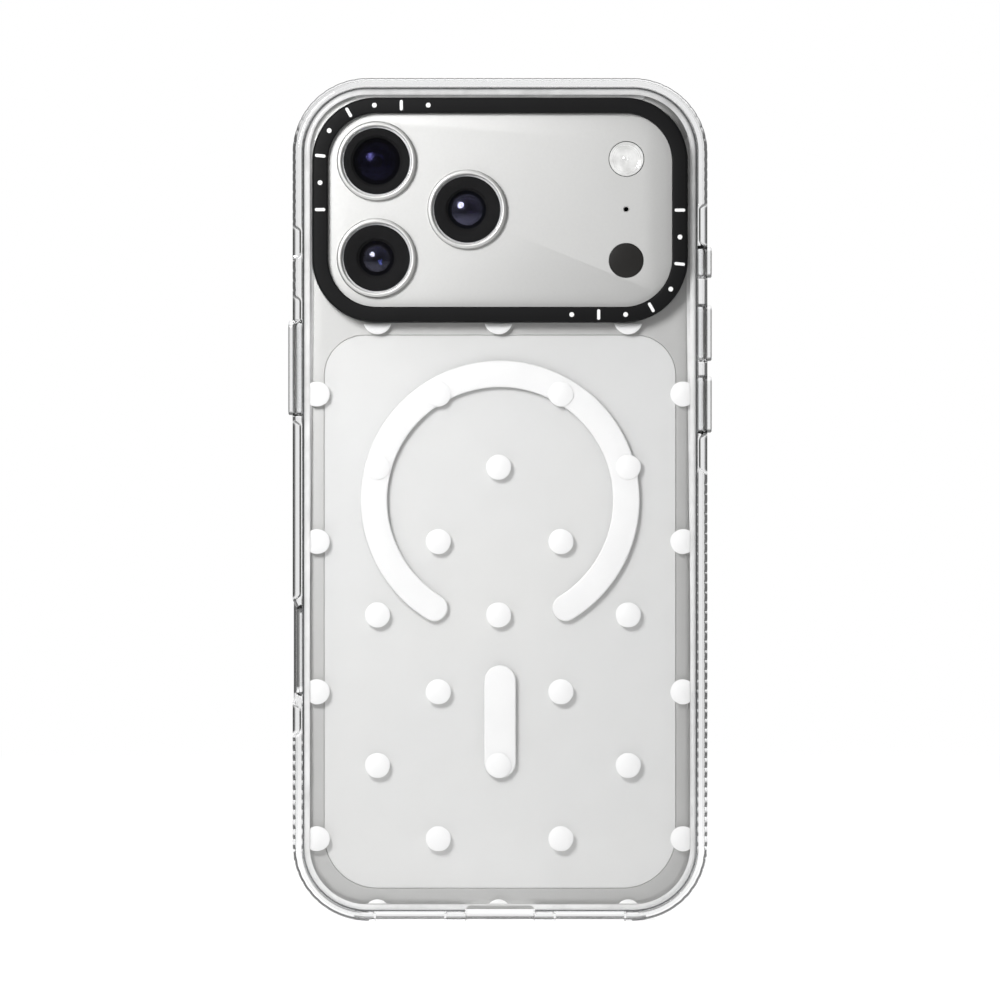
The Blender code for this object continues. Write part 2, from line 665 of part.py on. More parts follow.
def make_button(name, side, height, length, proud, finish):
    """A button with a flange inside the housing's wall, which keeps it from falling out."""
    inner_wall = PHONE_SIDE - HOUSING_WALL
    outer_face = PHONE_SIDE + proud
    flange_outer = inner_wall - GAP
    x_low, x_high = side_span(side, outer_face, flange_outer - FLANGE_THICK)
    outline = rounded_box(BUTTON_WIDTH, length, 1.4, (BUTTON_Y, height), steps=3)
    button = slab(name, outline, x_low, x_high, finish, axis="X")
    outer, inner = (0.25, 0.05) if side > 0 else (0.05, 0.25)
    round_rims(button, outer, inner, segments=2)
    x_low, x_high = side_span(side, flange_outer, flange_outer - FLANGE_THICK)
    half_width = BUTTON_WIDTH / 2 + 0.8
    half_length = length / 2 + 0.8
    flange = block(
        name + "_flange",
        (x_low, BUTTON_Y - half_width, height - half_length),
        (x_high, BUTTON_Y + half_width, height + half_length),
    )
    boolean(button, flange, "UNION")


def make_buttons(finish):
    for name, (side, height, length) in BUTTONS.items():
        make_button(name + "_button", side, height, length, BUTTON_PROUD, finish)
    make_button("camera_button", -1, CAMERA_BUTTON_HEIGHT, CAMERA_BUTTON_LENGTH, 0.0, finish)


clear_scene()
parts = new_collection("smartphone_in_clear_case")
cutters = new_collection("cutters")

clear_soft = material("clear_soft", (0.88, 0.89, 0.90), 0.25, alpha=0.45)
clear_hard = material("clear_hard", (0.93, 0.94, 0.95), 0.06, alpha=0.25)
black_matte = material("black_matte", (0.024, 0.024, 0.025), 0.45)
white_satin = material("white_satin", (0.93, 0.93, 0.93), 0.4)
silver = material("silver_anodised", (0.76, 0.76, 0.75), 0.32, 1.0)
back_frost = material("back_glass", (0.80, 0.80, 0.79), 0.3)
black_glass = material("black_glass", (0.012, 0.012, 0.014), 0.05)
display = material("display", (0.008, 0.008, 0.010), 0.2)
lens_glass = material("lens_glass", (0.010, 0.011, 0.018), 0.04)
diffuser_clear = material("flash_diffuser", (0.86, 0.86, 0.84), 0.25)
sensor_dark = material("sensor_window", (0.035, 0.032, 0.031), 0.15)
steel_plain = material("steel", (0.55, 0.55, 0.56), 0.35, 1.0)
magnet_grey = material("magnet", (0.30, 0.30, 0.31), 0.4, 1.0)
cell_black = material("battery", (0.05, 0.05, 0.055), 0.5)
board_green = material("circuit_board", (0.02, 0.09, 0.06), 0.5)
copper_wire = material("copper", (0.72, 0.38, 0.22), 0.35, 1.0)
module_black = material("module_plastic", (0.03, 0.03, 0.03), 0.55)

make_bumper(clear_soft)
make_back_plate(clear_hard)
make_camera_ring(black_matte)
make_magnets(white_satin, magnet_grey)
make_caps(clear_soft)
make_housing(silver)
make_glass(back_frost, black_glass, display, module_black, steel_plain)
make_cameras(silver, lens_glass, module_black)
make_rear_sensors(diffuser_clear, sensor_dark, board_green)
make_electronics(cell_black, board_green, steel_plain, copper_wire, magnet_grey, module_black)
make_port(steel_plain, module_black)
make_buttons(silver)
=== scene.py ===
"""Looks for the large smartphone in its clear case: fine meshes, procedural materials,
studio light and camera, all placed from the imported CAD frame. Sizes are in millimetres."""

import json
import math
import random

import bmesh
import bpy
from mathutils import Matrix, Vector


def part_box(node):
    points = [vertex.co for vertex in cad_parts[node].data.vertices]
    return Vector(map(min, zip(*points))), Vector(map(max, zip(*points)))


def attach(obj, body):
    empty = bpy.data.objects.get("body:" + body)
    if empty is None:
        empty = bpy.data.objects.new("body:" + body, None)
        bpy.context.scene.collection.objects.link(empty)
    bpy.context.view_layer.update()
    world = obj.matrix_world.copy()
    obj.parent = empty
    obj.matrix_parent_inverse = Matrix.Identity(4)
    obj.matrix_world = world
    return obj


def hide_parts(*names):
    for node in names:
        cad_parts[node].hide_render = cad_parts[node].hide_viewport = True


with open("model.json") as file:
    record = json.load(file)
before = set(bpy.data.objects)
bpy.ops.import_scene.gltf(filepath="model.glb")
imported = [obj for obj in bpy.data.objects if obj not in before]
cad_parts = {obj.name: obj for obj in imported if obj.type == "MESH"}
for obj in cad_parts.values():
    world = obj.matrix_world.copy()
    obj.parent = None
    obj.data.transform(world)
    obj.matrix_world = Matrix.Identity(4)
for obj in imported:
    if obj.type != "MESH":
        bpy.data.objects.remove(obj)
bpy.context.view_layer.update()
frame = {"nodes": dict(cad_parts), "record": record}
scene = bpy.context.scene

MM = 0.001
CORNER_STEPS = 28
TURN_STEPS = 96
BODIES = {
    node: body
    for body, members in frame["record"]["behaviour"]["bodies"].items()
    for node in members
}


def span(node):
    """The lowest and highest corners of a CAD node, in millimetres."""
    low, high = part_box(node)
    return low / MM, high / MM


def middle(node):
    low, high = span(node)
    return (low + high) / 2


def seen_middle(low, high):
    """The middle of a box as (x, z), the way it is seen from behind."""
    return (low.x + high.x) / 2, (low.z + high.z) / 2


def side_box(node):
    """A side piece's lowest and highest corners, its side, and its middle as (depth, height)."""
    low, high = span(node)
    return low, high, 1 if low.x > 0 else -1, ((low.y + high.y) / 2, (low.z + high.z) / 2)


# Driving dimensions: the boxes come from the frame, the corner radii from the part

case_low, case_high = span("bumper")
phone_low, phone_high = span("housing")
plate_low, plate_high = span("back_plate")
ring_low, ring_high = span("camera_ring")
glass_low, glass_high = span("back_glass")
PHONE_WIDTH = phone_high.x - phone_low.x
PHONE_HEIGHT = phone_high.z - phone_low.z
PHONE_CORNER = 12.6
PHONE_SIDE = PHONE_WIDTH / 2
PHONE_BACK = glass_low.y
PHONE_FRONT = phone_high.y
PLATEAU_BACK = phone_low.y
MIDDLE = (phone_low.z + phone_high.z) / 2
CENTRE = (0, MIDDLE)
GAP = 0.3
CASE_SIDE = case_high.x
WALL = CASE_SIDE - PHONE_SIDE - GAP
END_WALL = phone_low.z - GAP - case_low.z
BUTTON_Y = middle("power_button").y

# Case details that the boxes don't give
LIP_OVERLAP = 1.1
LIP_INNER = PHONE_FRONT + GAP
POCKET_DEPTH = 1.37
POCKET_FLOOR = -1.7
LEFT_POCKETS = ((37.5, 42.5), (64.6, 99.0), (119.5, 123.9), (132.4, 137.8))
RIGHT_POCKETS = ((89.8, 96.4), (135.0, 142.2))
BOTTOM_POCKETS = ((6.96, 10.7), (25.1, 29.05))
SPEAKER_SLOT = (11.1, 24.7)
SPEAKER_SLOT_FLOOR = 4.4
PORT_HALF = 6.96
PORT_FLOOR = 5.2
SCOOP = (43.6, 64.0)
SCOOP_DEPTH = 0.95
SCOOP_FLOOR = 5.4
RING_CENTRE = (0, (ring_low.z + ring_high.z) / 2)
RING_SIZE = (ring_high.x - ring_low.x, ring_high.z - ring_low.z, 12.65)
RING_OPENING = (68.4, 38.5, 9.7)
PLATEAU_SIZE = (70.8, 40.9, 11.5)
MAGNET_RADIUS = 25.13
MAGNET_BAND = 5.29
MAGNET_GAP_ANGLE = 31.4
MAGNET_HEIGHT = span("magnet_ring_cover")[1].z - MAGNET_RADIUS - MAGNET_BAND / 2
LENSES = ("wide", "ultrawide", "tele")
BUTTONS = ("power", "action", "volume_up", "volume_down")
BUTTON_NODES = (*(name + "_button" for name in BUTTONS), "camera_button")
FLANGE_SPARE = 1.6  # how much longer a button's flange is than its face


# Outlines: loops of points (a, b), anticlockwise, pulled in by an inset


def arc(centre, radius, start, end, steps):
    points = []
    for step in range(steps + 1):
        angle = math.radians(start + (end - start) * step / steps)
        points.append((centre[0] + radius * math.cos(angle), centre[1] + radius * math.sin(angle)))
    return points


def rounded_box(width, height, radius, centre, inset=0.0, steps=CORNER_STEPS, low_radius=None):
    """A rectangle with round corners; low_radius is for the two lower ones."""
    low = radius if low_radius is None else low_radius
    points = []
    corners = ((0, 1, 1, radius), (90, -1, 1, radius), (180, -1, -1, low), (270, 1, -1, low))
    for turn, side, end, corner in corners:
        corner_middle = (
            centre[0] + side * (width / 2 - corner),
            centre[1] + end * (height / 2 - corner),
        )
        points += arc(corner_middle, max(corner - inset, 0.02), turn, turn + 90, steps)
    return points


def box_outline(width, height, radius, centre, steps=CORNER_STEPS, low_radius=None):
    return lambda inset: rounded_box(width, height, radius, centre, inset, steps, low_radius)


def open_ring(inset):
    """A C that is open below, with round ends."""
    centre = (0, MAGNET_HEIGHT)
    start = MAGNET_GAP_ANGLE - 90
    end = 270 - MAGNET_GAP_ANGLE
    half = MAGNET_BAND / 2 - inset
    outer = arc(centre, MAGNET_RADIUS + half, start, end, 120)
    inner = arc(centre, MAGNET_RADIUS - half, end, start, 120)
    far = arc(centre, MAGNET_RADIUS, end, end, 1)[0]
    near = arc(centre, MAGNET_RADIUS, start, start, 1)[0]
    far_end = arc(far, half, end, end + 180, 24)[1:-1]
    near_end = arc(near, half, start + 180, start + 360, 24)[1:-1]
    return outer + far_end + inner + near_end


def circle(radius, centre, steps=TURN_STEPS):
    return arc(centre, radius, 0, 360 * (steps - 1) / steps, steps - 1)


def rims(low, high, low_round, high_round, steps=5):
    """(inset, depth) pairs from the low face to the high face, with both rims rounded."""
    pairs = []
    for step in range(steps + 1):
        angle = math.pi / 2 * step / steps
        pairs.append((low_round * (1 - math.sin(angle)), low + low_round * (1 - math.cos(angle))))
    for step in range(steps + 1):
        angle = math.pi / 2 * step / steps
        pairs.append((high_round * (1 - math.cos(angle)), high - high_round * (1 - math.sin(angle))))
    return pairs


# Meshes

PLACES = {
    "X": lambda a, b, depth: (depth, a, b),
    "Y": lambda a, b, depth: (a, depth, b),
    "Z": lambda a, b, depth: (a, b, depth),
}


def new_piece(name, bm, smooth_angle=32):
    bmesh.ops.recalc_face_normals(bm, faces=bm.faces)
    mesh = bpy.data.meshes.new(name)
    bm.to_mesh(mesh)
    bm.free()
    mesh.shade_smooth()
    mesh.set_sharp_from_angle(angle=math.radians(smooth_angle))
    piece = bpy.data.objects.new(name, mesh)
    scene.collection.objects.link(piece)
    return piece


def loft(name, loops, closed=False, smooth_angle=32):
    """Loops of 3-D points with equal counts, joined by quads and capped, or closed end to end."""
    bm = bmesh.new()
    rows = [[bm.verts.new(Vector(point) * MM) for point in loop] for loop in loops]
    count = len(rows[0])
    following = rows[1:] + rows[:1] if closed else rows[1:]
    for near, far in zip(rows, following):
        for i in range(count):
            j = (i + 1) % count
            bm.faces.new((near[i], near[j], far[j], far[i]))
    if not closed:
        bm.faces.new(rows[0][::-1])
        bm.faces.new(rows[-1])
    return new_piece(name, bm, smooth_angle)


def sweep(name, stack, axis="Y", closed=False):
    """A loft through outlines, each at its own inset and depth."""
    place = PLACES[axis]
    loops = [[place(a, b, depth) for a, b in outline(inset)] for outline, inset, depth in stack]
    return loft(name, loops, closed)


def slab(name, outline, profile, axis="Y"):
    """One outline swept through the (inset, depth) pairs of a profile."""
    return sweep(name, [(outline, *pair) for pair in profile], axis)


def prism(name, outline, low, high, axis="Y"):
    return slab(name, outline, ((0, low), (0, high)), axis)


def frame_slab(name, outer, inner, outer_profile, inner_profile):
    """A slab with a window: the outer wall runs one way and the window's wall runs back."""
    walls = [(outer, *pair) for pair in outer_profile] + [(inner, *pair) for pair in inner_profile]
    return sweep(name, walls, closed=True)


def turned(name, profile, centre, closed=False, axis="Y", steps=TURN_STEPS):
    """A profile of (radius, depth) turned about an axis."""

    def turn(radius):
        return circle(radius, centre, steps)

    return sweep(name, [(turn, *pair) for pair in profile], axis, closed)


def join(name, pieces):
    """One object out of several, which keep their own bodies."""
    bm = bmesh.new()
    for piece in pieces:
        bm.from_mesh(piece.data)
        bpy.data.objects.remove(piece, do_unlink=True)
    return new_piece(name, bm)


def carve(piece, cutter, operation="DIFFERENCE", solver="EXACT", smooth_angle=32):
    """Applies one Boolean and removes the cutter."""
    modifier = piece.modifiers.new("carve", "BOOLEAN")
    modifier.operation = operation
    modifier.solver = solver
    modifier.object = cutter
    bpy.context.view_layer.update()
    graph = bpy.context.evaluated_depsgraph_get()
    mesh = bpy.data.meshes.new_from_object(piece.evaluated_get(graph))
    piece.modifiers.clear()
    if len(mesh.polygons) == 0:
        raise RuntimeError(f"nothing is left of {piece.name} after {cutter.name}")
    piece.data = mesh
    mesh.shade_smooth()
    mesh.set_sharp_from_angle(angle=math.radians(smooth_angle))
    bpy.data.objects.remove(cutter, do_unlink=True)
    return piece


def dress(piece, finish, slot_name, *nodes, body=None):
    """Gives a piece its material and body, and hides the CAD nodes that it stands for; slot_name is not
    used.
    """
    if not any(piece.data.materials):
        piece.data.materials.clear()
        piece.data.materials.append(finish)
    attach(piece, body or BODIES[nodes[0]])
    if nodes:
        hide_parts(*nodes)
    return piece


# Materials


class Finish:
    """A Principled material with a few shorthands for procedural detail."""

    def __init__(self, name, colour, roughness, metallic=0.0, **inputs):
        self.material = bpy.data.materials.new(name)
        self.material.use_nodes = True
        self.tree = self.material.node_tree
        self.shader = self.tree.nodes["Principled BSDF"]
        self.shader.inputs["Base Color"].default_value = (*colour, 1)
        self.shader.inputs["Roughness"].default_value = roughness
        self.shader.inputs["Metallic"].default_value = metallic
        for socket, value in inputs.items():
            self.shader.inputs[socket.replace("_", " ")].default_value = value
        self.coordinates = self.tree.nodes.new("ShaderNodeTexCoord").outputs["Object"]

    def node(self, kind, **values):
        made = self.tree.nodes.new(kind)
        for socket, value in values.items():
            made.inputs[socket.replace("_", " ")].default_value = value
        return made

    def link(self, source, target):
        self.tree.links.new(source, target)

    def stretched(self, scale):
        mapping = self.node("ShaderNodeMapping", Scale=scale)
        self.link(self.coordinates, mapping.inputs["Vector"])
        return mapping.outputs["Vector"]

    def noise(self, size, detail=3.0, stretch=None):
        """Noise whose features are about size millimetres across."""
        noise = self.node("ShaderNodeTexNoise", Scale=1 / (size * MM), Detail=detail)
        self.link(self.stretched(stretch) if stretch else self.coordinates, noise.inputs["Vector"])
        return noise.outputs["Fac"]

    def mixed(self, share, first, second):
        """Two shaders mixed by a share."""
        mix = self.tree.nodes.new("ShaderNodeMixShader")
        for source, socket in zip((share, first.outputs[0], second.outputs[0]), mix.inputs):
            self.link(source, socket)
        return mix

    def maths(self, operation, first):
        made = self.node("ShaderNodeMath")
        made.operation = operation
        self.link(first, made.inputs[0])
        return made

    def show(self, shader):
        self.link(shader.outputs[0], self.tree.nodes["Material Output"].inputs["Surface"])

    def ranged(self, source, low, high, start=0.3, end=0.7):
        remap = self.node("ShaderNodeMapRange", From_Min=start, From_Max=end, To_Min=low, To_Max=high)
        self.link(source, remap.inputs["Value"])
        return remap.outputs["Result"]

    def vary_colour(self, source, first, second, start=0.3, end=0.7):
        mix = self.tree.nodes.new("ShaderNodeMix")
        mix.data_type = "RGBA"
        self.link(self.ranged(source, 0, 1, start, end), mix.inputs["Factor"])
        for socket in [s for s in mix.inputs if s.type == "RGBA"]:
            socket.default_value = (*(first if socket.name == "A" else second), 1)
        colour = [s for s in mix.outputs if s.type == "RGBA"][0]
        self.link(colour, self.shader.inputs["Base Color"])
        return self

    def vary_roughness(self, source, low, high):
        self.link(self.ranged(source, low, high), self.shader.inputs["Roughness"])
        return self

    def bump(self, source, depth, strength=1.0):
        """Relief of depth millimetres."""
        bump = self.node("ShaderNodeBump", Strength=strength, Distance=depth * MM)
        self.link(source, bump.inputs["Height"])
        self.link(bump.outputs["Normal"], self.shader.inputs["Normal"])
        return self


def clear_pane(name, tint, ior, roughness, haze=0.0, haze_colour=(0.95, 0.95, 0.95)):
    """A thin clear sheet: light goes straight through, apart from Fresnel gloss and a little haze."""
    made = Finish(name, haze_colour, 0.4)
    see_through = made.node("ShaderNodeBsdfTransparent", Color=(*tint, 1))
    gloss = made.node("ShaderNodeBsdfAnisotropic", Color=(1, 1, 1, 1))
    made.link(made.ranged(made.noise(9.0), roughness * 0.7, roughness * 1.5), gloss.inputs["Roughness"])
    # The same share on both faces, since light isn't bent here and so never reflects back inside
    facing = made.node("ShaderNodeLayerWeight", Blend=0.5)
    steep = made.maths("POWER", facing.outputs["Facing"])
    steep.inputs[1].default_value = 5.0
    straight_on = ((ior - 1) / (ior + 1)) ** 2
    share = made.ranged(steep.outputs["Value"], straight_on, 1.0, 0.0, 1.0)
    cloud = made.ranged(made.noise(6.0, 4.0), haze * 0.8, haze * 1.2)
    made.show(made.mixed(share, made.mixed(cloud, see_through, made.shader), gloss))
    return made.material


def anodised(name, colour, roughness=0.42):
    """Blasted and anodised aluminium: a very fine grain and faint tone drift."""
    made = Finish(name, colour, roughness, 1.0)
    darker = tuple(value * 0.965 for value in colour)
    made.vary_colour(made.noise(30.0, 4.0), colour, darker)
    made.vary_roughness(made.noise(0.5, 5.0), roughness * 0.93, roughness * 1.07)
    made.bump(made.noise(0.09, 2.0), 0.002, 0.35)
    return made.material


def polished(name, colour, roughness=0.16):
    """Turned bright metal with a faint fine grain."""
    made = Finish(name, colour, roughness, 1.0)
    made.vary_roughness(made.noise(0.3, 4.0), roughness * 0.8, roughness * 1.3)
    made.bump(made.noise(0.2, 2.0), 0.001, 0.25)
    return made.material


def moulded(name, colour, roughness, grain=0.25, depth=0.008, **inputs):
    """Moulded plastic with a fine spark-eroded grain."""
    made = Finish(name, colour, roughness, 0.0, **inputs)
    lighter = tuple(min(1.0, value * 1.06 + 0.0015) for value in colour)
    made.vary_colour(made.noise(14.0, 4.0), colour, lighter)
    made.vary_roughness(made.noise(grain * 3), roughness * 0.92, roughness * 1.08)
    made.bump(made.noise(grain, 4.0), depth, 0.5)
    return made.material


def satin_glass(name, colour):
    """Frosted back glass: soft gloss over an even pale tone."""
    made = Finish(name, colour, 0.5, Specular_IOR_Level=1.0)
    cooler = (colour[0] * 0.985, colour[1] * 0.99, colour[2])
    made.vary_colour(made.noise(45.0, 3.0), colour, cooler)
    made.vary_roughness(made.noise(0.4, 4.0), 0.46, 0.52)
    made.bump(made.noise(0.12, 2.0), 0.0015, 0.3)
    return made.material


def coated_lens(name, colour, reflection, roughness=0.05):
    """A dark lens element whose reflections are tinted by its coating."""
    made = Finish(name, colour, roughness, IOR=1.9, Specular_Tint=(*reflection, 1))
    made.vary_colour(made.noise(2.0), colour, tuple(value * 1.4 for value in colour))
    made.vary_roughness(made.noise(1.5), roughness * 0.8, roughness * 1.4)
    return made.material


def soft_clear(name, tint, roughness):
    """Clear flexible polymer: a solid that bends light, with a faint moulding ripple."""
    made = Finish(name, tint, roughness, Transmission_Weight=1.0, IOR=1.45)
    made.vary_roughness(made.noise(4.0), roughness * 0.7, roughness * 1.6)
    made.bump(made.noise(2.2, 2.0), 0.012, 0.35)
    return made.material


clear_soft = soft_clear("clear_soft_polymer", (0.985, 0.988, 0.992), 0.035)
cap_soft = soft_clear("clear_soft_caps", (0.985, 0.988, 0.992), 0.03)
clear_hard = clear_pane("clear_hard_plate", (1.0, 1.0, 1.0), 1.25, 0.03, haze=0.03)
RIM_HAZE = (0.97, 0.97, 0.97)
clear_rim = clear_pane("clear_hard_rim", (0.985, 0.985, 0.985), 1.35, 0.08, 0.75, RIM_HAZE)
# Painted shade: a dark, half see-through grey for the band that darkens the gap between the plate and the
# bumper
GAP_SHADE_HAZE = (0.2, 0.2, 0.2)
gap_shade_grey = clear_pane("painted_gap_shade", (0.52, 0.53, 0.54), 1.45, 0.2, 0.25, GAP_SHADE_HAZE)
pane_clear = clear_pane("lens_cover_glass", (0.97, 0.97, 0.98), 1.3, 0.012)
black_matte = moulded("black_matte_ring", (0.0048, 0.0048, 0.0052), 0.5, Specular_IOR_Level=0.12)
mark_white = moulded("mark_white", (0.94, 0.94, 0.94), 0.5, depth=0.003)
ink_white = moulded("ink_white", (0.985, 0.985, 0.983), 0.48, depth=0.003)
cover_white = moulded("magnet_cover_white", (0.96, 0.96, 0.96), 0.42, depth=0.004)
silver = anodised("silver_anodised_frame", (0.56, 0.56, 0.553), 0.5)
button_silver = anodised("silver_buttons", (0.80, 0.80, 0.79), 0.36)
trim_silver = anodised("lens_trim_silver", (0.60, 0.60, 0.59), 0.5)
back_satin = satin_glass("satin_back_glass", (0.79, 0.79, 0.78))
display_black = moulded("display_black", (0.006, 0.006, 0.008), 0.12, depth=0.0005)
screen_off = moulded("screen_off", (0.004, 0.0045, 0.007), 0.18, depth=0.0005)
mask_black = moulded(
    "lens_mask_black", (0.005, 0.005, 0.005), 0.6, depth=0.001, Specular_IOR_Level=0.12
)
sensor_dark = moulded("sensor_window_dark", (0.020, 0.019, 0.018), 0.22, depth=0.001)
module_black = moulded("module_plastic", (0.02, 0.02, 0.02), 0.5)
steel = polished("plain_steel", (0.56, 0.56, 0.57), 0.3)
magnet_grey = polished("nickel_magnet", (0.36, 0.36, 0.37), 0.35)
copper = polished("copper_coil", (0.72, 0.38, 0.22), 0.3)
battery_black = moulded("battery_wrap", (0.03, 0.03, 0.033), 0.45, grain=0.6)
port_dark = moulded("port_tongue_plastic", (0.015, 0.015, 0.016), 0.4)


def board_green():
    """Solder mask over copper traces."""
    made = Finish("circuit_board", (0.01, 0.06, 0.04), 0.4)
    patches = made.noise(1.2, 6.0, (1, 1, 0.3))
    made.vary_colour(patches, (0.008, 0.05, 0.033), (0.02, 0.10, 0.06), 0.45, 0.55)
    made.bump(made.noise(0.6, 3.0), 0.02, 0.4)
    return made.material


def diffuser_finish():
    """Milky flash lens with a cloudy depth."""
    made = Finish("flash_diffuser", (0.9, 0.9, 0.88), 0.12, Coat_Weight=0.6)
    made.vary_colour(made.noise(2.6, 2.0), (0.72, 0.72, 0.71), (0.96, 0.96, 0.95), 0.35, 0.65)
    made.bump(made.noise(1.6, 2.0), 0.12, 0.5)
    return made.material


board = board_green()
diffuser = diffuser_finish()
selfie_coating = coated_lens("selfie_coating", (0.006, 0.006, 0.016), (0.45, 0.42, 1.0))
REAR_COATINGS = {
    "wide": coated_lens("wide_rear_coating", (0.004, 0.004, 0.010), (0.5, 0.5, 0.9)),
    "ultrawide": coated_lens("ultrawide_rear_coating", (0.004, 0.006, 0.014), (0.35, 0.5, 1.0)),
    "tele": coated_lens("tele_rear_coating", (0.006, 0.003, 0.006), (1.0, 0.5, 0.62)),
}


# Bumper: one profile swept round the phone's outline, in stations

TICK_PITCH = 1.95
TICK_SHAPE = (1.0, 0.15, 0.0, 0.0, 0.0, 0.15)
TICK_DEPTH = 0.07
CAP_ZONES = {-1: (99.0, 119.5), 1: (96.4, 135.0)}
# The profile's points are distances outside the phone's outline, with depths
OUTER = WALL + GAP
STEP_OUT = 2.33  # where a pocket's floor meets the wall
FLAT_TOP = (0.5, 0.95)  # the ridge that is seen bright from behind
EDGE_DEPTH = 2.3
FRONT_ROUNDING = 1.1
WALL_DEPTHS = (-1.2, -0.4, 0.4, 1.2, 2.0, 2.8, 3.6, 4.4, 5.2)


def back_edge():
    """The cavity's back edge, the flat ridge and the rounded outer edge."""
    back = case_low.y
    points = [(GAP, back + 1.0), (GAP, back + 0.32), (0.36, back + 0.15), (0.42, back + 0.05)]
    points += [(FLAT_TOP[0], back), (FLAT_TOP[1], back)]
    reach = OUTER - FLAT_TOP[1]
    for step in range(1, 13):
        angle = math.pi / 2 * step / 12
        points.append((FLAT_TOP[1] + reach * math.sin(angle), back + EDGE_DEPTH * (1 - math.cos(angle))))
    points.append((OUTER, -2.4))
    return points


def front_edge():
    """The outer wall's front rim, the lip and the way back along the cavity."""
    front = case_high.y
    inner = -LIP_OVERLAP
    points = []
    for step in range(1, 8):
        angle = math.pi / 2 * step / 7
        out = OUTER - FRONT_ROUNDING * (1 - math.cos(angle))
        points.append((out, front - FRONT_ROUNDING * (1 - math.sin(angle))))
    points += [(0.4, front), (-0.5, front)]
    points += [(inner + 0.25, front - 0.03), (inner + 0.06, front - 0.14), (inner, front - 0.35)]
    points += [(inner, LIP_INNER + 0.1), (inner + 0.1, LIP_INNER), (0.1, LIP_INNER)]
    points += [(GAP, depth) for depth in (LIP_INNER - 0.25, 4.6, 2.4, 0.2, -2.0)]
    return points


def bumper_profile():
    step = [(STEP_OUT, POCKET_FLOOR), (STEP_OUT, POCKET_FLOOR + 0.12)]
    return back_edge() + step + [(OUTER, depth) for depth in WALL_DEPTHS] + front_edge()


PROFILE = bumper_profile()


def stations():
    """Evenly spaced points round the phone's outline, each with its outward normal."""
    half_width = PHONE_SIDE - PHONE_CORNER
    half_height = PHONE_HEIGHT / 2 - PHONE_CORNER
    quarter = math.pi / 2 * PHONE_CORNER
    runs = (2 * half_height, quarter, 2 * half_width, quarter) * 2
    total = sum(runs)
    count = len(TICK_SHAPE) * round(total / TICK_PITCH)
    quadrants = ((1, 1), (-1, 1), (-1, -1), (1, -1))
    corners = [(half_width * side, half_height * end) for side, end in quadrants]
    found = []
    for index in range(count):
        along = total * index / count
        run = 0
        while along > runs[run]:
            along -= runs[run]
            run += 1
        turn = run // 2
        angle = math.pi / 2 * turn
        if run % 2:
            angle += along / PHONE_CORNER
            along = 0
            x, z = corners[turn]
        else:
            x, z = corners[turn - 1]
        out_x = math.cos(angle)
        out_z = math.sin(angle)
        x = x + PHONE_CORNER * out_x - along * out_z
        z = z + PHONE_CORNER * out_z + along * out_x
        found.append((x, MIDDLE + z, out_x, out_z, index % len(TICK_SHAPE)))
    return found


def smooth(value):
    value = min(max(value, 0.0), 1.0)
    return value * value * (3 - 2 * value)


def inside(value, span_low, span_high, blend):
    """1 within the span, falling smoothly to 0 over blend outside it."""
    return smooth((value - span_low) / blend + 1) * smooth((span_high - value) / blend + 1)


def bumper_loop(base_x, base_z, normal_x, normal_z, phase):
    """The profile at one station, with its share of a pocket, the thumb scoop and a tick."""
    pocket = 0.0
    scoop = 0.0
    tick = 1.0 - smooth(abs(normal_z) * 3 - 2) if normal_z < 0 else 1.0
    if abs(normal_x) > 0.999:
        side = 1 if normal_x > 0 else -1
        pockets = LEFT_POCKETS if side < 0 else RIGHT_POCKETS
        pocket = max(inside(base_z, low + 0.4, high - 0.4, 1.1) for low, high in pockets)
        tick *= 1 - inside(base_z, *CAP_ZONES[side], 0.5)
        tick *= 1 - max(inside(base_z, low - 0.6, high + 0.6, 0.3) for low, high in pockets)
        if side < 0:
            scoop = inside(base_z, SCOOP[0] + 1.6, SCOOP[1] - 1.6, 1.8)
            tick *= 1 - inside(base_z, SCOOP[0] - 1, SCOOP[1] + 1, 0.5)
    end_trim = (WALL - END_WALL) * normal_z * normal_z
    points = []
    for out, depth in PROFILE:
        if out > GAP:
            reach = (out - GAP) / WALL
            if depth <= POCKET_FLOOR + 0.01:
                out -= POCKET_DEPTH * pocket * reach
            if depth < SCOOP_FLOOR:
                hollow = 1 - 0.25 * abs(depth - BUTTON_Y) / 6
                out -= SCOOP_DEPTH * scoop * reach * hollow
            if reach > 0.5 and depth < SCOOP_FLOOR + 0.6:
                out -= TICK_DEPTH * tick * TICK_SHAPE[phase] * smooth(reach * 2.5 - 1.25)
            out -= end_trim * reach
        points.append((base_x + normal_x * out, depth, base_z + normal_z * out))
    return points


def side_slab(name, side, centre, width, height, corner, inner, outer, flare=0.0):
    """A rounded prism along X between two distances from the middle, wider by flare at its outer end."""
    ends = sorted((side * inner, side * outer))
    outline = box_outline(width, height, corner, centre, steps=8)
    wide = -flare * 2
    if side > 0:
        profile = ((0, ends[0]), (0, CASE_SIDE - flare), (wide, CASE_SIDE + flare), (wide, ends[1]))
    else:
        profile = ((wide, ends[0]), (wide, -CASE_SIDE - flare), (0, -CASE_SIDE + flare), (0, ends[1]))
    return slab(name, outline, profile, "X")


def bottom_cutter(name, x_low, x_high, y_high, z_high, corner=0.35, flare=0.0):
    """A cutter with round corners through the bottom edge, open to the back and wider there by flare."""
    y_low = case_low.y - 1
    centre = ((x_low + x_high) / 2, (z_high - 2) / 2)
    outline = box_outline(x_high - x_low, z_high + 2, corner, centre, steps=6)
    profile = ((-flare, y_low), (-flare * 0.6, y_low + 2), (0, y_low + 4), (0, y_high))
    return slab(name, outline, profile)


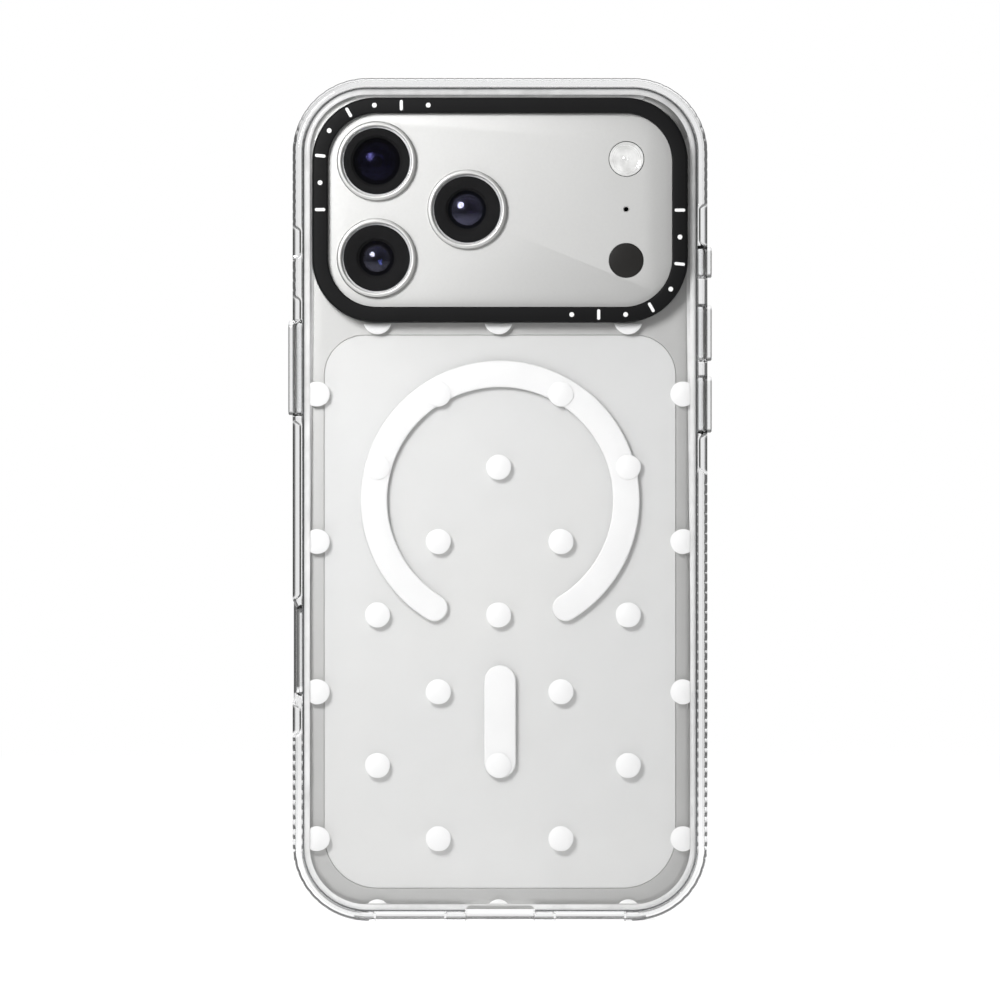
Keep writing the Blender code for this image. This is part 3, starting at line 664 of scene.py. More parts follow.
def make_bumper():
    loops = [bumper_loop(*station) for station in stations()]
    bumper = loft("bumper_shell", loops, closed=True, smooth_angle=38)
    through = END_WALL + 2 * GAP
    cutters = []
    for side in (-1, 1):
        for near, far in BOTTOM_POCKETS:
            low, high = sorted((side * near, side * far))
            cutters.append(bottom_cutter("pocket", low, high, POCKET_FLOOR, POCKET_DEPTH))
        low, high = sorted((side * SPEAKER_SLOT[0], side * SPEAKER_SLOT[1]))
        cutters.append(bottom_cutter("speaker_slot", low, high, SPEAKER_SLOT_FLOOR, through))
    half = PORT_HALF - 0.3
    cutters.append(bottom_cutter("port_notch", -half, half, PORT_FLOOR, through, 0.6, 0.3))
    for name in BUTTONS:
        low, high, side, centre = side_box(name + "_cap")
        width = high.y - low.y + 2 * GAP
        height = high.z - low.z + 2 * GAP
        size = (width, height, 1.5, PHONE_SIDE, CASE_SIDE + 2, 0.12)
        cutters.append(side_slab(name + "_slot", side, centre, *size))
    low, high = span("camera_button")
    window = (BUTTON_Y, (low.z + high.z) / 2)
    cutters.append(side_slab("camera_window", -1, window, 5.0, 18.4, 2.0, PHONE_SIDE, CASE_SIDE + 2))
    cutter = join("bumper_cutter", cutters)
    carve(bumper, cutter, solver="MANIFOLD", smooth_angle=38)
    return dress(bumper, clear_soft, "clear_soft", "bumper")


# Clear back plate, camera ring, prints and magnet covers

RIM = 1.15  # width of the plate's frosted edge
PRINT_SIDE = 37.8
PRINT_LOW = 3.5
DOT_RADIUS = 2.485
TOP_DOT_RADIUS = 2.85  # the row that the camera ring covers
DOT_THICK = 0.05
DOT_CLEARANCE = 0.18  # between the dots' layer and the magnet covers
DOT_ROWS_A = (104.96, 75.6, 45.7, 16.45)
DOT_ROWS_B = (119.7, 90.4, 61.0, 31.05, 1.9)
DOT_COLUMNS_A = (-36.4, -12.3, 12.1, 36.4)
DOT_COLUMNS_B = (-24.4, -0.3, 25.5)


def cut_port_notch(piece, back, front):
    notch = box_outline(2 * PORT_HALF, 3.4, 1.2, (0, 1.5), steps=8)
    carve(piece, prism("notch", notch, back - 1, front + 1))


def make_plate():
    outer = box_outline(PHONE_WIDTH, PHONE_HEIGHT, PHONE_CORNER, CENTRE)
    spare = 0.3
    width, height, corner = RING_SIZE
    window = box_outline(width + spare, height + spare, corner + spare / 2, RING_CENTRE)
    back = plate_low.y
    front = plate_high.y
    outer_profile = [(RIM + 0.05, back), (RIM, back)] + rims(back, front, 0.75, 0.2, 6)
    plate = frame_slab("clear_back_plate", outer, window, outer_profile, ((0, front), (0, back)))
    plate.data.materials.append(clear_hard)
    plate.data.materials.append(clear_rim)
    for face in plate.data.polygons:
        x, _, z = face.center / MM
        edge_x = PHONE_SIDE - abs(x)
        edge_z = PHONE_HEIGHT / 2 - abs(z - MIDDLE)
        corner = PHONE_CORNER - math.hypot(max(PHONE_CORNER - edge_x, 0), max(PHONE_CORNER - edge_z, 0))
        if min(edge_x, edge_z, corner) < RIM - 0.02:
            face.material_index = 1
    floor = span("magnet_ring_cover")[0].y - 0.15
    carve(plate, prism("ring_pocket", lambda inset: open_ring(inset - 0.15), floor, front + 1))
    low, high = span("alignment_bar_cover")
    bar_middle = (0, (low.z + high.z) / 2)
    width = high.x - low.x
    bar = box_outline(width + spare, high.z - low.z + spare, width / 2 + spare / 2, bar_middle)
    carve(plate, prism("bar_pocket", bar, floor, front + 1))
    cut_port_notch(plate, back, front)
    return dress(plate, clear_hard, "clear_hard", "back_plate")


def make_painted_gap_shade():
    """A grey see-through band in the gap between the hard plate's edge and the soft bumper: painted shade
    for the dark line that the gap shows.
    """
    outer = box_outline(PHONE_WIDTH + 0.56, PHONE_HEIGHT + 0.56, PHONE_CORNER + 0.28, CENTRE)
    inner = box_outline(PHONE_WIDTH + 0.04, PHONE_HEIGHT + 0.04, PHONE_CORNER + 0.02, CENTRE)
    back = plate_low.y + 0.5
    front = plate_high.y
    # The band fills the gap just outside the phone's outline and is painted shade, not a moulded joint
    gap_shade_band = frame_slab("painted_gap_shade", outer, inner, ((0, back), (0, front)), ((0, front), (0, back)))
    cut_port_notch(gap_shade_band, back, front)
    return dress(gap_shade_band, gap_shade_grey, "clear_soft", body="root")


def dot_outline(x, z, size, chance):
    """A slightly uneven circle, cut off at the edge of the printed area and at the camera ring."""
    waves = [(chance.uniform(0.0, 0.02), chance.uniform(0, 6.28)) for _ in range(4)]
    ring_edge = ring_low.z - 0.2

    def outline(inset):
        points = []
        for angle_step in range(72):
            angle = math.tau * angle_step / 72
            radius = size - inset
            for order, (height, shift) in enumerate(waves, start=2):
                radius += height * math.cos(order * angle + shift)
            a = x + radius * math.cos(angle)
            b = z + radius * math.sin(angle)
            a = min(max(a, -PRINT_SIDE + inset), PRINT_SIDE - inset)
            b = min(max(b, PRINT_LOW + inset), ring_edge - inset)
            points.append((a, b))
        return points

    return outline


def make_dots():
    chance = random.Random(7)
    surface = span("magnet_ring_cover")[0].y - DOT_CLEARANCE
    dots = []
    for rows, columns in ((DOT_ROWS_A, DOT_COLUMNS_A), (DOT_ROWS_B, DOT_COLUMNS_B)):
        for z in rows:
            size = TOP_DOT_RADIUS if z > ring_low.z - 1 else DOT_RADIUS
            for x in columns:
                profile = ((0.05, surface - DOT_THICK), (0.0, surface - DOT_THICK * 0.4), (0.0, surface))
                dots.append(slab("dot", dot_outline(x, z, size, chance), profile))
    return dress(join("printed_dots", dots), ink_white, "white_satin", body="root")


def make_camera_ring():
    outer = box_outline(*RING_SIZE, RING_CENTRE)
    opening = box_outline(*RING_OPENING, RING_CENTRE)
    room_width = PLATEAU_SIZE[0] + 2 * GAP
    room_height = PLATEAU_SIZE[1] + 2 * GAP
    room = box_outline(room_width, room_height, PLATEAU_SIZE[2] + GAP, RING_CENTRE)
    back = ring_low.y
    front = ring_high.y
    ledge = PLATEAU_BACK - GAP
    steps = 6
    walls = [(outer, inset, depth) for inset, depth in rims(back, front, 0.55, 0.15, steps)]
    walls += [(room, 0, front), (room, 0, ledge), (opening, 0, ledge)]
    for step in range(steps + 1):
        angle = math.pi / 2 * step / steps
        walls.append((opening, -0.35 * (1 - math.cos(angle)), back + 0.35 * (1 - math.sin(angle))))
    ring = sweep("camera_surround", walls, closed=True)
    return dress(ring, black_matte, "black_matte", "camera_ring")


def band_point(distance):
    """A point and direction along the middle of the ring's band, from its left side's middle upwards."""
    width = (RING_SIZE[0] + RING_OPENING[0]) / 2
    height = (RING_SIZE[1] + RING_OPENING[1]) / 2
    corner = (RING_SIZE[2] + RING_OPENING[2]) / 2
    half_side = height / 2 - corner
    if distance < half_side:
        return -width / 2, distance, 90.0
    distance -= half_side
    quarter = math.pi / 2 * corner
    if distance < quarter:
        turned_by = distance / corner
        x = -width / 2 + corner - corner * math.cos(turned_by)
        return x, half_side + corner * math.sin(turned_by), 90 - math.degrees(turned_by)
    distance -= quarter
    return -width / 2 + corner + distance, height / 2, 0.0


MARK_FIRST = 0.05
MARK_STEP = 5.35
MARK_COUNT = 8
MARK_BAR = (2.1, 0.62)
MARK_DOT = (0.95, 0.95)


def make_marks():
    """Plain bars and dots along the ring's band, repeated half a turn round."""
    surface = ring_low.y - 0.012
    pieces = []
    for index in range(MARK_COUNT):
        x, up, heading = band_point(MARK_FIRST + index * MARK_STEP)
        across = math.radians(heading + 90)
        length, width = MARK_BAR if index % 2 == 0 else MARK_DOT
        for turn in (1, -1):

            def outline(inset, x=x, up=up, across=across, length=length, width=width, turn=turn):
                points = []
                for a, b in rounded_box(length, width, width / 2 - 0.01, (0, 0), inset, 10):
                    along_x = a * math.cos(across) - b * math.sin(across)
                    along_z = a * math.sin(across) + b * math.cos(across)
                    points.append((turn * (x + along_x), RING_CENTRE[1] + turn * (up + along_z)))
                return points

            profile = ((0.03, surface - 0.035), (0.0, surface - 0.015), (0.0, surface))
            pieces.append(slab("mark", outline, profile))
    return dress(join("ring_marks", pieces), mark_white, "white_satin", body="root")


def make_magnet_covers():
    low, high = span("magnet_ring_cover")
    ring = slab("magnet_ring", open_ring, rims(low.y, high.y, 0.28, 0.05))
    dress(ring, cover_white, "white_satin", "magnet_ring_cover")
    low, high = span("alignment_bar_cover")
    width = high.x - low.x
    outline = box_outline(width, high.z - low.z, width / 2 - 0.001, (0, (low.z + high.z) / 2))
    bar = slab("alignment_bar", outline, rims(low.y, high.y, 0.28, 0.05))
    dress(bar, cover_white, "white_satin", "alignment_bar_cover")


def make_caps():
    for name in BUTTONS:
        low, high, side, centre = side_box(name + "_cap")
        outline = box_outline(high.y - low.y, high.z - low.z, 1.2, centre, steps=10)
        face = 0.35
        dish = 0.12
        profile = rims(0, high.x - low.x, 0.1, face, 6)
        profile += [(face + 0.25, high.x - low.x - dish * 0.5), (face + 0.5, high.x - low.x - dish)]
        if side > 0:
            profile = [(inset, low.x + depth) for inset, depth in profile]
        else:
            profile = [(inset, high.x - depth) for inset, depth in profile][::-1]
        cap = slab(name + "_cap_clear", outline, profile, "X")
        dress(cap, cap_soft, "clear_soft", name + "_cap")


# Phone

LENS_HOLE = 7.3
SPEAKER_HOLES = 5
SPEAKER_FIRST = 12.6
SPEAKER_STEP = 2.65


def pill_cutter(name, axis, centre, width, height, corner, low, high):
    return prism(name, box_outline(width, height, corner, centre, steps=10), low, high, axis)


def housing_cutters():
    """Holes for lenses, sensors, buttons, the port, screws and speakers."""
    made = []
    back = PLATEAU_BACK - 1
    inner = PLATEAU_BACK + 1.3
    for name in LENSES:
        spot = middle(name + "_lens_trim")
        made.append(turned("hole", ((LENS_HOLE, back), (LENS_HOLE, inner)), (spot.x, spot.z)))
    for name in ("flash_diffuser", "depth_sensor_window"):
        spot = middle(name)
        radius = (span(name)[1].x - span(name)[0].x) / 2 + 0.12
        made.append(turned("hole", ((radius, back), (radius, inner)), (spot.x, spot.z)))
    spot = middle("depth_sensor_window")
    microphone = (spot.x, RING_CENTRE[1] + 0.2)
    bore = ((0.62, back), (0.62, PLATEAU_BACK), (0.45, PLATEAU_BACK + 0.15), (0.45, inner))
    made.append(turned("hole", bore, microphone, steps=32))
    for name in BUTTON_NODES:
        low, high, side, (_, height) = side_box(name)
        length = high.z - low.z - FLANGE_SPARE + 0.4
        x_low, x_high = sorted((side * (PHONE_SIDE - 2.6), side * (PHONE_SIDE + 1)))
        made.append(pill_cutter("hole", "X", (BUTTON_Y, height), 3.3, length, 1.6, x_low, x_high))
    down = (phone_low.z - 1, phone_low.z + 2.6)
    low, high = span("port_shell")
    width = high.x - low.x + 0.3
    depth = high.y - low.y + 0.3
    made.append(pill_cutter("hole", "Z", (0, BUTTON_Y), width, depth, depth / 2 - 0.01, *down))
    screw_x = abs(middle("left_bottom_screw").x)
    for side in (-1, 1):
        bore = ((0.85, down[0]), (0.85, down[1]))
        made.append(turned("hole", bore, (side * screw_x, BUTTON_Y), axis="Z", steps=40))
        for index in range(SPEAKER_HOLES):
            spot = (side * (SPEAKER_FIRST + index * SPEAKER_STEP), BUTTON_Y)
            bore = ((0.95, down[0]), (0.95, phone_low.z), (0.75, phone_low.z + 0.2), (0.75, down[1]))
            made.append(turned("hole", bore, spot, axis="Z", steps=40))
    return made


def make_housing():
    outline = box_outline(PHONE_WIDTH, PHONE_HEIGHT, PHONE_CORNER, CENTRE)
    housing = slab("phone_housing", outline, rims(PHONE_BACK, PHONE_FRONT, 2.2, 0.6, 10))
    plateau_outline = box_outline(*PLATEAU_SIZE, RING_CENTRE)
    profile = rims(PLATEAU_BACK, PHONE_BACK + 0.5, 0.9, 0.02, 8)
    carve(housing, slab("plateau", plateau_outline, profile), "UNION")
    wall = 2.2
    cavity = box_outline(PHONE_WIDTH - 2 * wall, PHONE_HEIGHT - 2 * wall, PHONE_CORNER - wall, CENTRE)
    carve(housing, prism("cavity", cavity, PHONE_BACK + 1.6, PHONE_FRONT + 1))
    recess = box_outline(PHONE_WIDTH - 1.8, PHONE_HEIGHT - 1.8, PHONE_CORNER - 0.9, CENTRE)
    carve(housing, prism("recess", recess, PHONE_FRONT - 1.1, PHONE_FRONT + 1))
    width, height, corner = PLATEAU_SIZE
    hollow = box_outline(width - 3.2, height - 3.2, corner - 1.6, RING_CENTRE)
    carve(housing, prism("hollow", hollow, PLATEAU_BACK + 0.9, PHONE_BACK + 1.8))
    glass_middle = (0, (glass_low.z + glass_high.z) / 2)
    glass_size = (glass_high.x - glass_low.x + 0.16, glass_high.z - glass_low.z + 0.16)
    seat = box_outline(*glass_size, 8.08, glass_middle, low_radius=10.58)
    chamfer = ((-0.14, PHONE_BACK - 1), (-0.14, PHONE_BACK), (0, PHONE_BACK + 0.14))
    carve(housing, slab("seat", seat, chamfer + ((0, glass_high.y + 0.1),)))
    carve(housing, join("holes", housing_cutters()))
    return dress(housing, silver, "silver_anodised", "housing")


def make_back_glass():
    glass_middle = (0, (glass_low.z + glass_high.z) / 2)
    size = (glass_high.x - glass_low.x + 0.13, glass_high.z - glass_low.z + 0.13)
    outline = box_outline(*size, 8.06, glass_middle, low_radius=10.56)
    glass = slab("satin_back_glass", outline, rims(glass_low.y - 0.02, glass_high.y, 0.12, 0.05))
    return dress(glass, back_satin, "back_glass", "back_glass")


def make_buttons():
    for name in BUTTON_NODES:
        low, high, side, (_, height) = side_box(name)
        inner, outer = sorted((abs(low.x), abs(high.x)))
        centre = (BUTTON_Y, height)
        flange = box_outline(high.y - low.y, high.z - low.z, 0.6, centre, steps=12)
        face = box_outline(2.9, high.z - low.z - FLANGE_SPARE, 1.42, centre, steps=12)
        dish = 0.12 if name == "camera_button" else 0.0
        shelf = inner + 0.5
        stack = [(flange, 0.1, inner), (flange, 0.0, inner + 0.1)]
        stack += [(flange, 0.0, shelf - 0.1), (flange, 0.1, shelf), (face, 0.0, shelf + 0.02)]
        stack += [(face, inset, depth) for inset, depth in rims(shelf, outer, 0.01, 0.28)[6:]]
        stack += [(face, 0.6, outer - dish * 0.6), (face, 1.0, outer - dish)]
        if side < 0:
            stack = [(outline, inset, -depth) for outline, inset, depth in stack][::-1]
        dress(sweep(name + "_metal", stack, "X"), button_silver, "silver_anodised", name)


# A lens trim's lip: distances in from its outside, with depths below its top
TRIM_EDGE = (
    (0.95, 0.30),
    (0.93, 0.16),
    (0.86, 0.06),
    (0.76, 0.02),
    (0.62, 0),
    (0.50, 0),
    (0.44, 0.03),
    (0.38, 0.05),
    (0.22, 0.07),
    (0.10, 0.15),
    (0.03, 0.28),
    (0, 0.45),
)


def make_lenses():
    for name in LENSES:
        low, high = span(name + "_lens_trim")
        radius = (high.x - low.x) / 2
        spot = seen_middle(low, high)
        glass = span(name + "_lens_glass")
        glass_radius = (glass[1].x - glass[0].x) / 2
        seat = glass[1].y + 0.25
        flange = PLATEAU_BACK - 0.02
        profile = [(radius - TRIM_EDGE[0][0], seat)]
        profile += [(radius - inset, low.y + depth) for inset, depth in TRIM_EDGE]
        profile += [(radius, PLATEAU_BACK - 0.06), (radius - 0.06, flange), (radius - 0.9, flange)]
        profile += [(radius - 0.9, high.y), (5.7, high.y), (5.7, seat)]
        trim = turned(name + "_trim", profile, spot, closed=True, steps=144)
        dress(trim, trim_silver, "silver_anodised", name + "_lens_trim")
        edge = rims(glass[0].y, glass[1].y, 0.12, 0.05)
        pane_profile = [(glass_radius + 0.12 - inset, depth) for inset, depth in edge]
        pane = turned(name + "_pane", pane_profile, spot, steps=144)
        dress(pane, pane_clear, "lens_glass", name + "_lens_glass")
        make_lens_inside(name, spot, glass[1].y)


INNER_RADIUS = {"wide": 5.0, "ultrawide": 3.8, "tele": 4.1}
FRONT_SPHERE = {"wide": 9.0, "ultrawide": 6.0, "tele": 7.5}
REAR_SPHERE = {"wide": 3.4, "ultrawide": 5.5, "tele": 5.0}


def dome(name, radius, sphere, top, spot, hollow=False, thick=0.5):
    """A lens element: a cap of a sphere, bulging to the back or hollow."""
    steps = 24
    half_angle = math.asin(radius / sphere)
    sag = sphere * (1 - math.cos(half_angle))
    curve = []
    for step in range(steps + 1):
        angle = half_angle * (1 - step / steps)
        reach = max(sphere * math.sin(angle), 0.004)
        drop = sphere * (1 - math.cos(angle))
        curve.append((reach, top + (sag - drop if hollow else drop)))
    base = top + sag + thick
    return turned(name, [(radius, base)] + curve, spot)


def make_lens_inside(name, spot, behind_glass):
    """A masked window, a stepped barrel and two coated elements."""
    opening = INNER_RADIUS[name]
    mask_y = behind_glass + 0.03
    outer = 6.6
    steps = 5
    step_in = 0.14
    depth = 3.6
    profile = [(outer, mask_y), (opening + 0.25, mask_y)]
    profile += [(opening + 0.1, mask_y + 0.03), (opening, mask_y + 0.12)]
    for step in range(steps):
        reach = opening - step * step_in
        floor = mask_y + 0.25 + step * depth / steps
        profile += [(reach, floor), (reach - step_in, floor + 0.05)]
    floor = mask_y + depth + 0.6
    profile += [(opening - steps * step_in, floor), (0.3, floor), (0.3, floor + 0.4)]
    profile += [(outer - 1.2, floor + 0.4), (outer - 1.2, mask_y + 0.6), (outer, mask_y + 0.5)]
    barrel = turned(name + "_barrel", profile, spot, closed=True)
    dress(barrel, mask_black, "module_plastic", body="root")
    front = dome(name + "_front_element", opening - 0.05, FRONT_SPHERE[name], mask_y + 0.35, spot)
    dress(front, FRONT_PANES[name], "lens_glass", body="root")
    rear_radius = opening * 0.62
    sphere = max(REAR_SPHERE[name], rear_radius * 1.05)
    rear = dome(name + "_rear_element", rear_radius, sphere, mask_y + 2.4, spot, hollow=True)
    dress(rear, REAR_COATINGS[name], "lens_glass", body="root")


def coated_pane(name, tint, reflection, share):
    """A coated lens surface: mostly clear, with a tinted mirror share."""
    made = Finish(name, reflection, 0.05)
    clear = made.node("ShaderNodeBsdfTransparent", Color=(*tint, 1))
    gloss = made.node("ShaderNodeBsdfAnisotropic", Color=(*reflection, 1))
    made.link(made.ranged(made.noise(1.2), 0.10, 0.16), gloss.inputs["Roughness"])
    edge = made.node("ShaderNodeLayerWeight", Blend=0.35)
    mirror = made.ranged(edge.outputs["Facing"], share, share * 2.2, 0, 1)
    made.show(made.mixed(mirror, clear, gloss))
    return made.material


FRONT_PANES = {
    "wide": coated_pane("wide_front_coating", (0.5, 0.5, 0.6), (0.35, 0.33, 0.95), 0.012),
    "ultrawide": coated_pane("ultrawide_front_coating", (0.5, 0.5, 0.6), (0.80, 0.80, 1.0), 0.05),
    "tele": coated_pane("tele_front_coating", (0.45, 0.5, 0.6), (0.68, 0.68, 1.0), 0.07),
}


def make_rear_sensors():
    low, high = span("flash_diffuser")
    radius = (high.x - low.x) / 2
    spot = seen_middle(low, high)
    profile = [(radius, high.y), (radius, low.y + 0.22)]
    profile += [(radius - 0.06, low.y + 0.12), (radius - 0.2, low.y + 0.10)]
    for step in range(1, 9):
        reach = (radius - 0.3) * (1 - step / 9)
        profile += [(reach + 0.12, low.y + 0.16), (reach + 0.02, low.y + 0.07 + 0.02 * step)]
    profile += [(0.02, low.y + 0.26)]
    dress(turned("flash_lens", profile, spot), diffuser, "flash_diffuser", "flash_diffuser")
    low, high = span("depth_sensor_window")
    radius = (high.x - low.x) / 2
    spot = seen_middle(low, high)
    profile = [(radius + 0.05 - inset, depth) for inset, depth in rims(low.y + 0.02, high.y, 0.06, 0.03)]
    dress(turned("depth_window", profile, spot), sensor_dark, "sensor_window", "depth_sensor_window")


def make_front():
    """Cover glass, black border, screen, earpiece slot and front camera."""
    low, high = span("display_cover_glass")
    outline = box_outline(high.x - low.x, high.z - low.z, PHONE_CORNER - 1.2, CENTRE)
    cover = slab("front_glass", outline, rims(low.y, high.y, 0.08, 0.35, 6))
    ear = middle("earpiece_mesh")
    carve(cover, pill_cutter("ear_slot", "Y", (0, ear.z), 10.6, 1.1, 0.54, low.y - 1, high.y + 1))
    dress(cover, pane_clear, "black_glass", "display_cover_glass")
    border = box_outline(high.x - low.x - 0.2, high.z - low.z - 0.2, PHONE_CORNER - 1.3, CENTRE)
    screen = box_outline(PHONE_WIDTH - 6.4, PHONE_HEIGHT - 6.6, PHONE_CORNER - 3.2, CENTRE)
    behind = low.y - 0.06
    layer = ((0, behind - 0.1), (0, behind))
    mask = frame_slab("display_border", border, screen, layer, layer[::-1])
    carve(mask, pill_cutter("ear_slot", "Y", (0, ear.z), 10.4, 0.9, 0.44, behind - 2, behind + 1))
    dress(mask, display_black, "black_glass", body="root")
    panel_low, panel_high = span("display_panel")
    face = box_outline(panel_high.x - panel_low.x, panel_high.z - panel_low.z, PHONE_CORNER - 2.8, CENTRE)
    panel = slab("screen_panel", face, rims(panel_low.y, panel_high.y, 0.05, 0.05))
    spot = middle("front_camera")
    camera = (spot.x, spot.z)
    carve(panel, turned("hole", ((2.5, panel_low.y - 1), (2.5, panel_high.y + 1)), camera))
    dress(panel, screen_off, "display", "display_panel")
    low, high = span("front_camera")
    radius = (high.x - low.x) / 2
    top = high.y
    profile = [(radius, low.y), (radius, top - 0.1), (radius - 0.1, top), (1.25, top)]
    profile += [(1.15, top - 0.15), (0.95, top - 0.2), (0.9, top - 0.5)]
    turns = (0.3, 0.6, 0.9, 1.2, 1.4)
    profile += [(0.9 * math.cos(a), top - 0.5 + 0.28 * math.sin(a)) for a in turns]
    profile += [(0.02, top - 0.22)]
    dress(turned("selfie_camera", profile, camera), selfie_coating, "module_plastic", "front_camera")


def make_port_shell():
    low, high = span("port_shell")
    width = high.x - low.x
    depth = high.y - low.y
    centre = (0, BUTTON_Y)
    outer = box_outline(width, depth, depth / 2 - 0.001, centre, steps=16)
    inner = box_outline(width - 0.6, depth - 0.6, depth / 2 - 0.301, centre, steps=16)
    mouth = low.z
    top = high.z
    stack = [(inner, 0, top - 0.6), (inner, 0, mouth + 0.3), (inner, -0.12, mouth), (outer, 0.02, mouth)]
    stack += [(outer, 0, mouth + 0.05), (outer, 0, top - 0.1), (outer, 0.1, top)]
    dress(sweep("port_liner", stack, "Z"), steel, "steel", "port_shell")


CARRIED = (
    (battery_black, ("battery",)),
    (board, ("main_board", "left_key_flex", "right_key_flex", "flash_module", "depth_sensor_module")),
    (steel, ("processor_shield", "heat_spreader", "haptic_housing", "earpiece_mesh")),
    (steel, ("left_bottom_screw", "right_bottom_screw")),
    (magnet_grey, ("haptic_mass", "phone_magnet_ring", "alignment_bar_magnet")),
    (magnet_grey, tuple(f"case_ring_magnet_{number}" for number in range(1, 7))),
    (copper, ("charging_coil",)),
    (module_black, ("loudspeaker", "earpiece_speaker")),
    (port_dark, ("port_tongue",)),
)


def paint_carried():
    """Gives the CAD nodes that are shown as they are their materials."""
    for finish, nodes in CARRIED:
        for node in nodes:
            data = frame["nodes"][node].data
            data.materials.clear()
            data.materials.append(finish)


def make_modules():
    """The rear camera modules' bodies, with room for their barrels."""
    for name in LENSES:
        low, high = span(name + "_camera_module")
        spot = seen_middle(low, high)
        back = PLATEAU_BACK + 4.4
        outline = box_outline(high.x - low.x, high.z - low.z, 5.0, spot, steps=12)
        body = slab(name + "_module_body", outline, rims(back, high.y, 0.3, 0.3))
        dress(body, module_black, "module_plastic", name + "_camera_module")


# Stage


def aim(thing, target):
    direction = Vector(target) - thing.location
    thing.rotation_euler = direction.to_track_quat("-Z", "Y").to_euler()


def area_light(name, place, target, size, power):
    data = bpy.data.lights.new(name, "AREA")
    data.shape = "DISK"
    data.size = size
    data.energy = power
    light = bpy.data.objects.new(name, data)
    light.location = place
    scene.collection.objects.link(light)
    aim(light, target)
    light.visible_camera = False
    light.visible_transmission = False


WORLD_DEPTH = (
    (0.0, 0.10),
    (1.0, 0.96),
    (0.03, 0.14),
    (0.13, 0.48),
    (0.30, 0.44),
    (0.50, 0.46),
    (0.72, 0.20),
    (0.965, 0.16),
    (0.982, 0.50),
    (0.994, 0.94),
)
WORLD_RIGHT = (0.1, 0.95, 1.0, 0.6)
WORLD_UP = (-0.8, 0.6, 0.75, 1.0)


def studio_level(tree, direction):
    """How bright the studio is in a direction: a white card behind the object and dimmer sides."""
    axes = tree.nodes.new("ShaderNodeSeparateXYZ")
    tree.links.new(direction, axes.inputs["Vector"])

    def ramp(source, stops, kind="SMOOTHSTEP"):
        made = tree.nodes.new("ShaderNodeMapRange")
        made.interpolation_type = kind
        for socket, value in zip(("From Min", "From Max", "To Min", "To Max"), stops):
            made.inputs[socket].default_value = value
        tree.links.new(source, made.inputs["Value"])
        return made.outputs["Result"]

    def product(first, second):
        made = tree.nodes.new("ShaderNodeMath")
        made.operation = "MULTIPLY"
        tree.links.new(first, made.inputs[0])
        tree.links.new(second, made.inputs[1])
        return made.outputs["Value"]

    # Y grows away from the camera; the factor runs from 0 straight behind the camera to 1
    depth = tree.nodes.new("ShaderNodeValToRGB")
    tree.links.new(ramp(axes.outputs["Y"], (-1.0, 1.0, 0.0, 1.0), "LINEAR"), depth.inputs["Fac"])
    stops = depth.color_ramp.elements
    for index, (place, level) in enumerate(WORLD_DEPTH):
        stop = stops[index] if index < 2 else stops.new(place)
        stop.position = place
        stop.color = (level, level, level, 1)
    sides = product(ramp(axes.outputs["X"], WORLD_RIGHT), ramp(axes.outputs["Z"], WORLD_UP))
    return product(depth.outputs["Color"], sides)


FLOOR_HALF = 6.0  # metres
FLOOR_FADE = (0.25, 1.1)  # metres from the object, over which the floor turns into the studio


def make_floor():
    """A pale floor that fades into the studio's own brightness far away."""
    bm = bmesh.new()
    bmesh.ops.create_grid(bm, x_segments=1, y_segments=1, size=FLOOR_HALF)
    floor = new_piece("floor", bm)
    finish = Finish("pale_floor", (0.62, 0.62, 0.62), 0.6, Emission_Color=(1, 1, 1, 1))
    path = finish.node("ShaderNodeLightPath")
    distance = finish.node("ShaderNodeVectorMath")
    distance.operation = "LENGTH"
    finish.link(finish.coordinates, distance.inputs[0])
    direction = finish.node("ShaderNodeVectorMath")
    direction.operation = "NORMALIZE"
    finish.link(finish.coordinates, direction.inputs[0])
    level = finish.node("ShaderNodeMapRange", To_Max=1.0)
    finish.link(path.outputs["Is Camera Ray"], level.inputs["Value"])
    finish.link(studio_level(finish.tree, direction.outputs["Vector"]), level.inputs["To Min"])
    glow = finish.node("ShaderNodeEmission")
    finish.link(level.outputs["Result"], glow.inputs["Strength"])
    near = finish.ranged(path.outputs["Is Camera Ray"], 0.2, 0.85, 0.0, 1.0)
    for kind, strength in (("Is Transmission Ray", 0.8), ("Is Glossy Ray", 0.45)):
        brighter = finish.maths("MAXIMUM", near)
        finish.link(finish.ranged(path.outputs[kind], 0.0, strength, 0.0, 1.0), brighter.inputs[1])
        near = brighter.outputs["Value"]
    finish.link(near, finish.shader.inputs["Emission Strength"])
    far = finish.ranged(distance.outputs["Value"], 0.0, 1.0, *FLOOR_FADE)
    finish.show(finish.mixed(far, finish.shader, glow))
    floor.data.materials.append(finish.material)


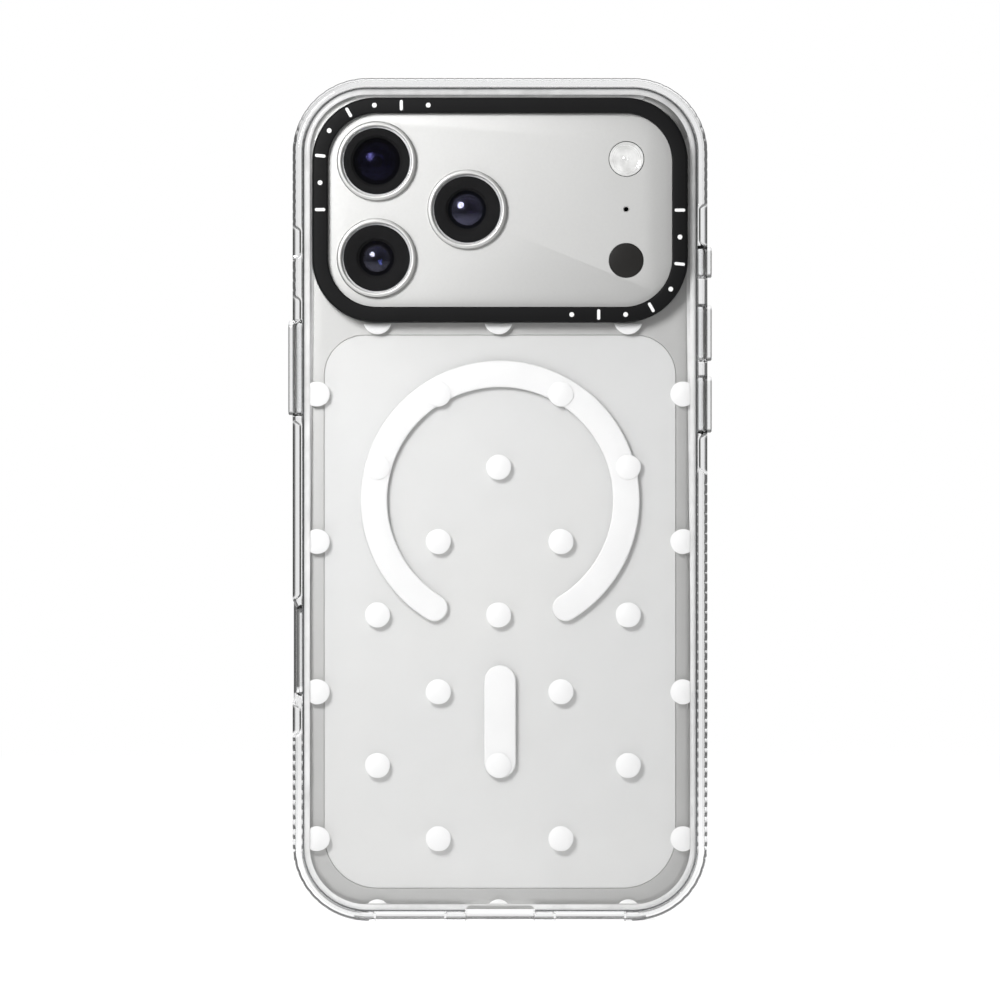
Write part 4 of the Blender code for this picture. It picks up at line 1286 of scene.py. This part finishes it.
def make_world():
    """White to the camera, and studio_level's soft light to everything else."""
    world = bpy.data.worlds.new("studio")
    scene.world = world
    world.use_nodes = True
    tree = world.node_tree
    tree.nodes.clear()
    output = tree.nodes.new("ShaderNodeOutputWorld")
    path = tree.nodes.new("ShaderNodeLightPath")
    white = tree.nodes.new("ShaderNodeBackground")
    studio = tree.nodes.new("ShaderNodeBackground")
    mix = tree.nodes.new("ShaderNodeMixShader")
    coordinates = tree.nodes.new("ShaderNodeTexCoord")
    strength = studio_level(tree, coordinates.outputs["Generated"])
    white.inputs["Color"].default_value = (1, 1, 1, 1)
    studio.inputs["Color"].default_value = (1, 1, 1, 1)
    tree.links.new(strength, studio.inputs["Strength"])
    tree.links.new(path.outputs["Is Camera Ray"], mix.inputs["Fac"])
    tree.links.new(studio.outputs["Background"], mix.inputs[1])
    tree.links.new(white.outputs["Background"], mix.inputs[2])
    tree.links.new(mix.outputs["Shader"], output.inputs["Surface"])


LENS_MM = 300
SENSOR_MM = 36
FRAME_WIDTH = 198.97  # millimetres across the picture at the case's back
PICTURE_HEIGHT = 83.86  # height of the picture's middle


def make_camera():
    data = bpy.data.cameras.new("camera")
    data.lens = LENS_MM
    data.sensor_width = SENSOR_MM
    camera = bpy.data.objects.new("camera", data)
    distance = FRAME_WIDTH * LENS_MM / SENSOR_MM
    camera.location = (0, (plate_low.y - distance) * MM, PICTURE_HEIGHT * MM)
    camera.rotation_euler = (math.pi / 2, 0, 0)
    scene.collection.objects.link(camera)
    scene.camera = camera


def make_lights():
    target = (0, 0, 0.09)
    area_light("key", (-0.14, -0.36, 0.24), target, 0.13, 1.04)
    area_light("top", (0.0, -0.05, 0.55), target, 0.35, 0.5)


make_camera()
make_world()
make_floor()
make_lights()
scene.view_settings.view_transform = "Standard"
scene.cycles.max_bounces = 16
scene.cycles.transmission_bounces = 14
scene.cycles.transparent_max_bounces = 24

make_bumper()
make_plate()
make_painted_gap_shade()
make_dots()
make_camera_ring()
make_marks()
make_magnet_covers()
make_caps()
make_housing()
make_back_glass()
make_buttons()
make_lenses()
make_modules()
make_rear_sensors()
make_front()
make_port_shell()
paint_carried()
